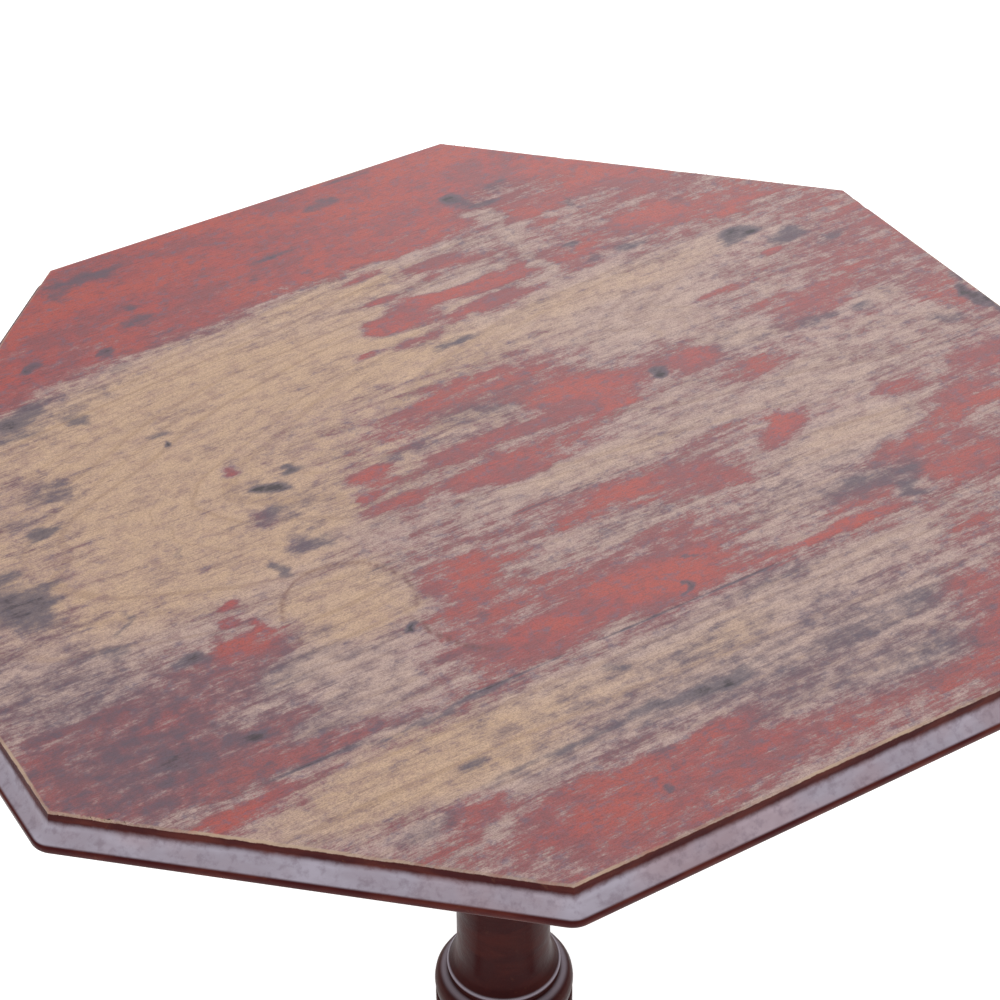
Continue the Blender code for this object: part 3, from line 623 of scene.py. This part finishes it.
# ---- colours
GOLD_WOOD = (0.640, 0.435, 0.295)
GREY_WOOD = (0.600, 0.435, 0.370)
FIBRE_BROWN = (0.215, 0.125, 0.105)
WOOD_BLOTCH = (0.300, 0.165, 0.130)
FIBRE_DARK = (0.090, 0.050, 0.048)
RING_STAIN = (0.150, 0.055, 0.050)
RING_BROWN = (0.290, 0.165, 0.090)
PALE_FILM = (0.410, 0.270, 0.270)
DARK_FILM = (0.200, 0.120, 0.135)
DUSKY_RED = (0.270, 0.088, 0.098)
RED = (0.430, 0.082, 0.080)
ORANGE_RED = (0.480, 0.092, 0.072)
DEEP_RED = (0.220, 0.048, 0.052)
GRIME_AND_PAINTED_SHADE = (0.105, 0.092, 0.125)
BLUE_GRIME = (0.165, 0.130, 0.180)
SOOT = (0.035, 0.030, 0.036)
TAN_EDGE = (0.520, 0.370, 0.260)
DARK_COAT = (0.052, 0.005, 0.006)
DARK_COAT_WORN = (0.100, 0.018, 0.013)
# Lilac dust with a painted sheen in it, for the moulding's cove and the column's bead and rim
LILAC_DUST_AND_SHEEN = (0.470, 0.425, 0.505)
WARM_DUST_AND_SHEEN = (0.470, 0.370, 0.420)
DARK_DUST_AND_SHEEN = (0.200, 0.150, 0.190)
CHIPPED_COAT = (0.125, 0.040, 0.022)
DARKENED_COAT = (0.020, 0.003, 0.003)
RUBBED_COAT = (0.052, 0.007, 0.006)
RIDGE_WOOD = (0.190, 0.085, 0.045)
END_GRAIN, DARK_END_GRAIN = (0.235, 0.135, 0.075), (0.095, 0.050, 0.030)
SAWN_WOOD, SAWN_DARK, SAW_MARK = (0.230, 0.130, 0.068), (0.105, 0.054, 0.029), (0.060, 0.034, 0.022)
SMEARED_WOOD, DARKER_BOARD = (0.090, 0.050, 0.030), (0.070, 0.036, 0.022)
BATTEN_BROWN, BATTEN_DARK, BATTEN_GRAIN = (0.235, 0.135, 0.070), (0.165, 0.088, 0.046), (0.090, 0.045, 0.024)
BATTEN_PORE, BATTEN_DIRT = (0.045, 0.025, 0.016), (0.050, 0.036, 0.030)
IRON_GREY, IRON_DARK = (0.085, 0.080, 0.076), (0.045, 0.042, 0.040)
RUST, RUST_PIT = (0.125, 0.052, 0.024), (0.030, 0.018, 0.014)
BRIGHT_BRASS, TARNISHED_BRASS = (0.560, 0.380, 0.150), (0.235, 0.140, 0.058)
BRASS_SPOT = (0.070, 0.062, 0.040)


def worn_paint_colour(graph):
    """The worn top: bare wood, then a thin film, then sound red, then grime and painted shade."""
    paint, stain_and_shade = graph.attribute("paint"), graph.attribute("stain_and_shade")
    warm, figure = graph.attribute("warm"), graph.attribute("figure")
    broad = graph.noise((15, 34, 15), 3.0, 0.6)
    streaks = graph.noise((24, 150, 30), 4.0, 0.6, 0.2)
    fine_streaks = graph.noise((110, 620, 100), 4.0, 0.7, 0.3)
    fibres = graph.noise((70, 1250, 60), 4.0, 0.75, 0.15)
    blotches = graph.noise((78, 96, 60), 6.0, 0.66, 0.15)
    specks = graph.noise((380, 560, 350), 4.0, 0.72)
    pinholes = graph.noise((820, 1300, 800), 2.0, 0.7)
    clouds = graph.noise((105, 145, 100), 6.0, 0.70, 0.1)

    rings = graph.line_noise(figure, 0.55, 3.0, 0.65)
    warmth = graph.added(warm, graph.swing(broad, 0.7))
    wood = graph.mix(graph.step(0.10, 0.85, warmth), GREY_WOOD, GOLD_WOOD)
    wood = graph.tint(wood, 0.35, 0.65, rings, 0.16, RING_BROWN)
    wood = graph.tint(wood, 0.52, 0.66, rings, 0.24, RING_BROWN)
    pores = graph.times(graph.step(0.52, 0.66, fibres), graph.step(0.35, 0.70, streaks, 0.28, 0.70))
    wood = graph.mix(pores, wood, FIBRE_BROWN)
    wood = graph.tint(wood, 0.46, 0.72, specks, 0.34, FIBRE_BROWN)
    wood = graph.tint(wood, 0.46, 0.70, blotches, 0.34, WOOD_BLOTCH)

    ragged = graph.added(paint, graph.swing(streaks, 1.00), graph.swing(fine_streaks, 0.65),
                         graph.swing(blotches, 1.00), graph.swing(specks, 0.75), graph.swing(fibres, 0.40))
    streaked = graph.added(streaks, graph.swing(fibres, 0.7))
    film_colour = graph.mix(graph.step(0.36, 0.72, streaked), PALE_FILM, DARK_FILM)
    colour = graph.tint(wood, -0.20, 0.85, ragged, 0.92, film_colour)
    colour = graph.tint(colour, 0.32, 0.82, ragged, 0.80, DUSKY_RED)
    red_colour = graph.mix(graph.step(0.36, 0.62, broad), ORANGE_RED, RED)
    mottled = graph.added(blotches, graph.swing(broad, 0.9), graph.swing(fine_streaks, 0.5))
    red_colour = graph.tint(red_colour, 0.42, 0.68, mottled, 0.85, DUSKY_RED)
    red_colour = graph.tint(red_colour, 0.50, 0.68, fine_streaks, 0.55, DEEP_RED)
    red_colour = graph.tint(red_colour, 0.50, 0.70, specks, 0.50, DARK_FILM)
    red = graph.step(0.48, 0.92, ragged)
    colour = graph.mix(graph.times(red, 0.93), colour, red_colour)

    bloom = graph.times(graph.step(0.49, 0.68, clouds), graph.step(0.05, 0.45, ragged, 0.16, 0.62))
    colour = graph.mix(bloom, colour, BLUE_GRIME)
    blotted = graph.added(stain_and_shade, graph.swing(blotches, 1.0), graph.swing(streaks, 0.6),
                          graph.swing(fine_streaks, 0.35))
    # grime, and broad painted shade towards the front and the left
    colour = graph.tint(colour, 0.12, 0.75, blotted, 0.80, GRIME_AND_PAINTED_SHADE)
    colour = graph.tint(colour, 0.72, 1.05, blotted, 0.85, SOOT)
    colour = graph.tint(colour, 0.68, 0.76, specks, 0.45, SOOT)
    colour = graph.mix(graph.times(graph.attribute("ring"), 0.8), colour, RING_STAIN)
    colour = graph.tint(colour, 0.40, 0.66, pinholes, 0.34, FIBRE_DARK)
    height = graph.added(graph.times(red, 0.45), graph.times(fine_streaks, 0.6), graph.times(specks, 0.3))
    roughness = graph.mix(red, (0.56, 0.56, 0.56), (0.46, 0.46, 0.46))
    return colour, height, roughness


def dark_coat_colour(graph, smears, chips):
    """The dark red-brown paint of the moulding, the column and the legs."""
    coat = graph.mix(graph.step(0.42, 0.70, smears), DARK_COAT, DARK_COAT_WORN)
    return graph.tint(coat, 0.62, 0.74, chips, 0.6, CHIPPED_COAT)


def make_worn_paint():
    """The boards: the worn top, the dark moulding with its dust and a painted sheen in the cove, and the
    bare underside.
    """
    graph = Graph("worn_red_paint")
    colour, height, roughness = worn_paint_colour(graph)
    edge, under = graph.attribute("edge"), graph.attribute("under")
    chips = graph.noise((150, 150, 150), 4.0, 0.65)
    smears = graph.noise((26, 26, 120), 3.0, 0.6)
    wander = graph.noise((12, 12, 12), 3.0, 0.6)

    frayed = graph.added(edge, graph.swing(chips, 0.0022), graph.swing(wander, 0.0030))
    bare = graph.times(graph.step(-0.0012, -0.0003, frayed), graph.step(0.0020, 0.0006, frayed))
    bare = graph.times(bare, graph.step(0.36, 0.58, wander, 0.90, 0.30))
    dark_side = graph.step(-0.0002, -0.0009, frayed)
    coat = dark_coat_colour(graph, smears, chips)
    # Dust in the cove, with a painted lilac sheen that stands for the light's reflection in the glossy coat
    settled_dust_and_sheen = graph.times(graph.step(-0.0050, -0.0105, frayed), graph.step(-0.0222, -0.0203, edge))
    settled_dust_and_sheen = graph.times(settled_dust_and_sheen, graph.step(0.30, 0.62, smears, 0.97, 0.78))
    dust_and_sheen = graph.mix(graph.step(0.42, 0.62, wander), LILAC_DUST_AND_SHEEN, WARM_DUST_AND_SHEEN)
    dust_and_sheen = graph.tint(dust_and_sheen, 0.46, 0.70, chips, 0.40, DARK_DUST_AND_SHEEN)
    colour = graph.mix(dark_side, colour, graph.mix(settled_dust_and_sheen, coat, dust_and_sheen))
    colour = graph.mix(bare, colour, TAN_EDGE)

    sawn = graph.noise((10, 330, 60), 6.0, 0.72, 0.3)
    pit_saw = graph.noise((300, 9, 60), 3.0, 0.6, 0.4)
    old_wood = graph.mix(graph.step(0.3, 0.7, sawn), SAWN_WOOD, SAWN_DARK)
    old_wood = graph.tint(old_wood, 0.50, 0.74, pit_saw, 0.26, SAW_MARK)
    old_wood = graph.tint(old_wood, 0.50, 0.75, smears, 0.50, SMEARED_WOOD)
    old_wood = graph.mix(graph.attribute("tone"), old_wood, DARKER_BOARD)
    colour = graph.mix(under, colour, old_wood)
    gloss = graph.mix(dark_side, roughness, (0.30, 0.30, 0.30))
    gloss = graph.mix(under, gloss, (0.75, 0.75, 0.75))
    specular = graph.step(-0.0002, -0.0009, frayed, 0.32, 0.10)
    return graph.surface(colour, gloss, graph.bump(height, 0.00016), specular=specular)


# ---- the boards
WORN_PAINT = make_worn_paint()
for board_name, board_low, board_high in BOARDS:
    mesh = board_mesh(board_name + "_worn", board_low, board_high)
    paint_the_top(mesh, board_name)
    add_piece(board_name + "_worn", mesh, "top", WORN_PAINT, (board_name,))


# ---- the column
def arc(centre, radius, start, end, count):
    """Points on an arc, the angles in degrees from the first axis towards the second."""
    angles = [math.radians(start + (end - start) * i / (count - 1)) for i in range(count)]
    return [(centre[0] + radius * math.cos(a), centre[1] + radius * math.sin(a)) for a in angles]


def smooth_through(points, steps):
    """A Catmull-Rom curve through the points, with the given steps for each stretch."""
    vectors = [Vector(point) for point in points]
    padded = [2 * vectors[0] - vectors[1], *vectors, 2 * vectors[-1] - vectors[-2]]
    curve = []
    for a, b, c, d in zip(padded, padded[1:], padded[2:], padded[3:]):
        for i in range(steps):
            t = i / steps
            curve.append(0.5 * (2 * b + (c - a) * t + (2 * a - 5 * b + 4 * c - d) * t ** 2
                                + (3 * b - a - 3 * c + d) * t ** 3))
    curve.append(vectors[-1])
    return [tuple(point) for point in curve]


def column_profile():
    """Radius and height down the turned column, tenon first, as the CAD column has it."""
    tenon_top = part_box("column")[1].z - TENON_SUNK
    tenon = [(0, tenon_top), (0.0208, tenon_top), (0.0219, tenon_top - 0.0012), (0.0219, SHOULDER_Z)]
    cap = [(0.0410, SHOULDER_Z), (0.0420, SHOULDER_Z - 0.0008), (0.0425, SHOULDER_Z - 0.0025),
           (0.0425, SHOULDER_Z - 0.0075), (0.0418, SHOULDER_Z - 0.0092), (0.0396, SHOULDER_Z - 0.0108)]
    hollow = arc((0.0395, SHOULDER_Z - 0.0235), 0.0110, 100, 195, 12)
    ring = arc((0.0300, RING_Z), 0.0048, 75, -75, 12)
    shaft_top, shaft_bottom = SHOULDER_Z - 0.042, 0.236
    shaft = []
    for i in range(15):
        t = i / 14
        radius = 0.0275 + 0.0095 * math.sin(t * math.pi / 2) ** 1.3
        shaft.append((radius, shaft_top + (shaft_bottom - shaft_top) * t))
    flare = smooth_through(((0.0371, 0.2280), (0.0378, 0.2195), (0.0398, 0.2120), (0.0432, 0.2070)), 5)
    bead = arc((0.0428, 0.2040), 0.0026, 70, -60, 9)
    shoulder = smooth_through(((0.0430, 0.1994), (0.0440, 0.1977), (0.0490, 0.1962), (0.0528, 0.1935)), 5)
    torus = smooth_through(((0.0549, 0.1895), (0.0556, 0.1845), (0.0552, 0.1790), (0.0540, 0.1735),
                            (0.0531, 0.1716)), 5)
    bottom = DRUM_BOTTOM_Z
    drum = [(0.0530, 0.1703), (0.0545, 0.1695), (DRUM_RADIUS, 0.1686), (DRUM_RADIUS, 0.140),
            (DRUM_RADIUS, 0.100), (DRUM_RADIUS, bottom + 0.0040), (0.0548, bottom + 0.0020),
            (0.0538, bottom + 0.0006), (0.0522, bottom), (0, bottom)]
    return tenon + cap + hollow + ring + shaft + flare + bead + shoulder + torus + drum


def turned_mesh(name, profile, steps):
    """A lathe shape from (radius, height) points, closed where the radius is 0."""
    bm = bmesh.new()
    rings = []
    for radius, height in profile:
        if radius == 0:
            rings.append([bm.verts.new((0, 0, height))])
            continue
        angles = [2 * math.pi * i / steps for i in range(steps)]
        rings.append([bm.verts.new((radius * math.cos(a), radius * math.sin(a), height)) for a in angles])
    for upper, lower in zip(rings, rings[1:]):
        for i in range(steps):
            corners = [upper[i % len(upper)], lower[i % len(lower)],
                       lower[(i + 1) % len(lower)], upper[(i + 1) % len(upper)]]
            bm.faces.new(list(dict.fromkeys(corners)))
    return finish_mesh(name, bm, 38)


def make_dark_paint():
    """Dark red-brown paint, rubbed thin on the high places, with turning and brush marks."""
    graph = Graph("dark_red_paint")
    smears = graph.noise((22, 22, 60), 4.0, 0.6, 0.3)
    chips = graph.noise((160, 160, 160), 5.0, 0.65)
    rubbed = graph.noise((14, 14, 30), 3.0, 0.6)
    high = graph.added(graph.attribute("worn"), graph.swing(chips, 1.1))
    # the coat of the column and legs is made darker than the moulding's
    colour = graph.mix(0.62, dark_coat_colour(graph, smears, chips), DARKENED_COAT)
    colour = graph.tint(colour, 0.45, 0.75, rubbed, 0.5, RUBBED_COAT)
    colour = graph.mix(graph.step(0.35, 0.75, high), colour, RIDGE_WOOD)
    # dust with a painted highlight on the bead and the rim
    colour = graph.mix(graph.times(graph.attribute("dust_and_sheen"), 0.65), colour, LILAC_DUST_AND_SHEEN)
    end_grain = graph.mix(graph.step(0.35, 0.65, chips), END_GRAIN, DARK_END_GRAIN)
    colour = graph.mix(graph.attribute("tenon"), colour, end_grain)
    turning = graph.noise((6, 6, 900), 3.0, 0.6)
    roughness = graph.mix(graph.step(0.35, 0.70, smears), (0.34, 0.34, 0.34), (0.50, 0.50, 0.50))
    normal = graph.bump(graph.times(turning, 0.5), 0.00016)
    normal = graph.bump(chips, 0.00030, normal)
    return graph.surface(colour, roughness, normal, specular=0.07, coat=0.03, coat_roughness=0.16)


DARK_PAINT = make_dark_paint()


def make_column():
    """The turned column, with where it is rubbed, where dust with a painted highlight lies on the bead and
    rim, and where the bare tenon is.
    """
    mesh = turned_mesh("column_turned", column_profile(), COLUMN_STEPS)
    x, y, z = vertex_positions(mesh).T
    radius = np.hypot(x, y)
    high = np.zeros_like(z)
    for ridge_z, spread in ((DRUM_EDGE_Z, 0.0010), (RING_Z, 0.0030), (SHOULDER_Z - 0.0050, 0.0040)):
        high = np.maximum(high, np.exp(-((z - ridge_z) / spread) ** 2))
    store(mesh, "worn", 0.38 * high)
    # Dust with a painted highlight along the bead and the shoulder's rim
    bead = np.exp(-((z - BEAD_DUST_AND_SHEEN_Z) / 0.0013) ** 2) * smoothstep(0.0434, 0.0446, radius)
    rim = np.exp(-((z - RIM_DUST_AND_SHEEN_Z) / 0.0012) ** 2) * smoothstep(0.0445, 0.0470, radius)
    store(mesh, "dust_and_sheen", np.maximum(bead, 0.75 * rim))
    store(mesh, "tenon", z > SHOULDER_Z)
    add_piece("column_turned", mesh, "base", DARK_PAINT, ("column",))


# ---- the legs
# Each section: the leg's lower and upper point as (distance from the axis, height), and its width
LEG_STATIONS = (((0.0500, 0.0553), (0.0500, 0.1512), 0.0340), ((0.0700, 0.0553), (0.0700, 0.1515), 0.0340),
                ((0.1020, 0.0553), (0.1000, 0.1490), 0.0345), ((0.1200, 0.0585), (0.1250, 0.1410), 0.0345),
                ((0.1400, 0.0610), (0.1500, 0.1270), 0.0340), ((0.1640, 0.0590), (0.1780, 0.1080), 0.0325),
                ((0.1900, 0.0510), (0.2060, 0.0875), 0.0305), ((0.2160, 0.0395), (0.2320, 0.0690), 0.0285),
                ((0.2420, 0.0275), (0.2560, 0.0530), 0.0270), ((0.2660, 0.0170), (0.2780, 0.0395), 0.0275),
                ((0.2880, 0.0085), (0.2980, 0.0285), 0.0330), ((0.3100, 0.0050), (0.3180, 0.0205), 0.0400))
FOOT_PROFILE = ((0, 0.0185), (0.0120, 0.0184), (0.0240, 0.0178), (0.0330, 0.0152), (0.0364, 0.0122),
                (0.0375, 0.0092), (0.0370, 0.0058), (0.0352, 0.0022), (0.0325, 0.0), (0, 0))


def leg_loft():
    """The leg as a closed loft of rounded sections, along +X."""
    flat = [(*lower, *upper, width) for lower, upper, width in LEG_STATIONS]
    curves = [smooth_through([(i, row[k], 0) for i, row in enumerate(flat)], 4) for k in range(5)]
    bm = bmesh.new()
    rings = []
    for values in zip(*curves):
        low_r, low_z, high_r, high_z, width = (value[1] for value in values)
        low, high = Vector((low_r, 0, low_z)), Vector((high_r, 0, high_z))
        ring = []
        for i in range(LEG_SECTION_POINTS):
            angle = 2 * math.pi * (i + 0.5) / LEG_SECTION_POINTS
            across = math.copysign(abs(math.cos(angle)) ** 0.5, math.cos(angle))
            along = math.copysign(abs(math.sin(angle)) ** 0.5, math.sin(angle))
            point = (low + high) / 2 + (high - low) / 2 * along
            ring.append(bm.verts.new(point + Vector((0, across * width / 2, 0))))
        rings.append(ring)
    for first, second in zip(rings, rings[1:]):
        for i in range(len(first)):
            bm.faces.new((first[i - 1], first[i], second[i], second[i - 1]))
    bm.faces.new(rings[0])
    bm.faces.new(rings[-1])
    return finish_mesh("leg_loft", bm)


def carved_leg_mesh():
    """The loft and its pad foot carved as one: joined, remeshed and smoothed."""
    foot = turned_mesh("foot", FOOT_PROFILE, 64)
    foot.transform(Matrix.Translation((FOOT_CENTRE, 0, 0)))
    bm = bmesh.new()
    bm.from_mesh(leg_loft())
    bm.from_mesh(foot)
    blank = new_object("leg_blank", new_mesh("leg_blank", bm))
    remesh = blank.modifiers.new("one_skin", "REMESH")
    remesh.mode = "VOXEL"
    remesh.voxel_size = LEG_SKIN
    smooth = blank.modifiers.new("sanded", "SMOOTH")
    smooth.factor = 0.5
    smooth.iterations = 5
    bpy.context.view_layer.update()
    carved = bpy.data.meshes.new_from_object(blank.evaluated_get(bpy.context.evaluated_depsgraph_get()))
    bpy.data.objects.remove(blank, do_unlink=True)
    carved.shade_smooth()
    return carved


def make_legs():
    """Three copies of the carved leg, with their feet flat on the floor and rubbed at the toes."""
    carved = carved_leg_mesh()
    for name, angle in LEG_ANGLES:
        mesh = carved.copy()
        co = vertex_positions(mesh)
        co[:, 2] = np.maximum(co[:, 2], 0.0)
        mesh.vertices.foreach_set("co", co.astype(np.float32).ravel())
        x, z = co[:, 0], co[:, 2]
        store(mesh, "worn", 0.48 * smoothstep(0.29, 0.35, x) + 0.10 * smoothstep(0.20, 0.10, x) * (z > 0.12))
        mesh.transform(Matrix.Rotation(math.radians(angle), 4, "Z"))
        add_piece(name + "_carved", mesh, "base", DARK_PAINT, (name,))


make_column()
make_legs()


# ---- battens, block and fittings
def make_old_wood(name, grain_scale, pore_scale):
    """Unpainted wood under the top: sawn, darkened, with dirt in the grain."""
    graph = Graph(name)
    broad = graph.noise((9, 9, 9), 3.0, 0.6)
    grain = graph.noise(grain_scale, 5.0, 0.65, 0.4)
    pores = graph.noise(pore_scale, 3.0, 0.7)
    dirt = graph.noise((70, 70, 70), 4.0, 0.65)
    colour = graph.mix(graph.step(0.35, 0.65, broad), BATTEN_BROWN, BATTEN_DARK)
    colour = graph.tint(colour, 0.42, 0.68, grain, 0.75, BATTEN_GRAIN)
    colour = graph.tint(colour, 0.55, 0.70, pores, 0.6, BATTEN_PORE)
    colour = graph.tint(colour, 0.58, 0.74, dirt, 0.6, BATTEN_DIRT)
    height = graph.added(graph.times(grain, 0.7), graph.times(pores, 0.5))
    roughness = graph.step(0.3, 0.7, grain, 0.62, 0.82)
    return graph.surface(colour, roughness, graph.bump(height, 0.0005), specular=0.3)


def make_iron():
    """Hammered iron, dark, with brown rust bloom."""
    graph = Graph("forged_iron")
    bloom = graph.noise((120, 120, 120), 5.0, 0.65)
    hammered = graph.noise((190, 190, 190), 2.0, 0.5)
    pits = graph.noise((900, 900, 900), 3.0, 0.7)
    rust = graph.step(0.50, 0.66, bloom)
    colour = graph.mix(graph.step(0.4, 0.65, hammered), IRON_GREY, IRON_DARK)
    colour = graph.mix(rust, colour, RUST)
    colour = graph.tint(colour, 0.60, 0.72, pits, 0.7, RUST_PIT)
    normal = graph.bump(graph.added(hammered, graph.times(pits, 0.35)), 0.0004)
    roughness = graph.step(0.3, 0.7, bloom, 0.40, 0.78)
    metallic = graph.math("SUBTRACT", 0.92, graph.times(rust, 0.75))
    return graph.surface(colour, roughness, normal, metallic)


def make_brass():
    """Old brass, brown with tarnish and brighter where it rubs."""
    graph = Graph("old_brass")
    tarnish = graph.noise((110, 110, 110), 5.0, 0.62)
    brushed = graph.noise((1400, 90, 400), 3.0, 0.6)
    spots = graph.noise((520, 520, 520), 3.0, 0.7)
    colour = graph.mix(graph.step(0.40, 0.64, tarnish), BRIGHT_BRASS, TARNISHED_BRASS)
    colour = graph.tint(colour, 0.60, 0.74, spots, 0.8, BRASS_SPOT)
    height = graph.added(graph.times(brushed, 0.4), graph.times(spots, 0.3))
    roughness = graph.step(0.35, 0.65, tarnish, 0.26, 0.55)
    return graph.surface(colour, roughness, graph.bump(height, 0.0002), metallic=0.95)


def finish_cad_node(node, material):
    """Gives a carried-over CAD node its material."""
    for slot in node.material_slots:
        slot.material = material
    if not node.material_slots:
        node.data.materials.append(material)


BATTEN_WOOD = make_old_wood("old_wood_along_y", (260, 22, 260), (900, 60, 900))
BLOCK_WOOD = make_old_wood("old_wood_along_x", (22, 260, 260), (60, 900, 900))
CAD_MATERIALS = (
    (make_iron(), ("batten_screw", "catch_screw", "strike_screw", "brace_nail", "pivot_pin", "catch_bolt",
                   "brace_plate")),
    (BATTEN_WOOD, ("batten_left", "batten_right", "tenon_wedge")),
    (BLOCK_WOOD, ("block",)),
    (make_brass(), ("catch_plate", "catch_knob", "strike_plate")),
)
for cad_material, name_starts in CAD_MATERIALS:
    for node_name, cad_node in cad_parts.items():
        if node_name.startswith(name_starts):
            finish_cad_node(cad_node, cad_material)


# ---- studio and camera
def make_floor():
    """A plain pale floor that glows a little, so that it stays white around the table."""
    bm = bmesh.new()
    bmesh.ops.create_grid(bm, x_segments=1, y_segments=1, size=30)
    floor = new_object("studio_floor", new_mesh("studio_floor", bm))
    graph = Graph("studio_floor")
    graph.shader.inputs["Base Color"].default_value = (0.92, 0.92, 0.92, 1.0)
    graph.shader.inputs["Emission Color"].default_value = (1.0, 1.0, 1.0, 1.0)
    graph.shader.inputs["Emission Strength"].default_value = 0.52
    graph.shader.inputs["Roughness"].default_value = 0.9
    graph.shader.inputs["Specular IOR Level"].default_value = 0.1
    floor.data.materials.append(graph.material)


def direction(azimuth, elevation):
    """The unit vector towards the given azimuth and elevation, in degrees."""
    azimuth, elevation = math.radians(azimuth), math.radians(elevation)
    return Vector((math.cos(elevation) * math.cos(azimuth), math.cos(elevation) * math.sin(azimuth),
                   math.sin(elevation)))


def add_softbox(name, size, power, azimuth, elevation, distance):
    """A square softbox that faces the table from the given direction."""
    away = direction(azimuth, elevation)
    light = bpy.data.lights.new(name, "AREA")
    light.size = size
    light.energy = power
    obj = new_object(name, light)
    obj.location = Vector(LIGHT_TARGET) + away * distance
    obj.rotation_euler = away.to_track_quat("Z", "Y").to_euler()


def light_the_studio():
    world = bpy.data.worlds.new("studio")
    world.use_nodes = True
    background = world.node_tree.nodes["Background"]
    background.inputs["Color"].default_value = (1.0, 1.0, 1.0, 1.0)
    background.inputs["Strength"].default_value = 0.76
    bpy.context.scene.world = world
    for softbox in SOFTBOXES:
        add_softbox(*softbox)
    bpy.context.scene.view_settings.view_transform = "Standard"


def make_camera():
    camera = bpy.data.cameras.new("camera")
    camera.sensor_width = 36
    camera.lens = CAMERA_LENS
    camera.clip_start = 0.05
    obj = new_object("camera", camera)
    back = direction(CAMERA_AZIMUTH, CAMERA_ELEVATION)
    roll = math.radians(CAMERA_ROLL)
    level_right = (-back).cross(Vector((0, 0, 1))).normalized()
    level_up = level_right.cross(-back)
    right = level_right * math.cos(roll) + level_up * math.sin(roll)
    up = level_up * math.cos(roll) - level_right * math.sin(roll)
    matrix = Matrix((right, up, back)).transposed().to_4x4()
    matrix.translation = Vector(CAMERA_TARGET) + back * CAMERA_DISTANCE
    obj.matrix_world = matrix
    bpy.context.scene.camera = obj


make_floor()
light_the_studio()
make_camera()
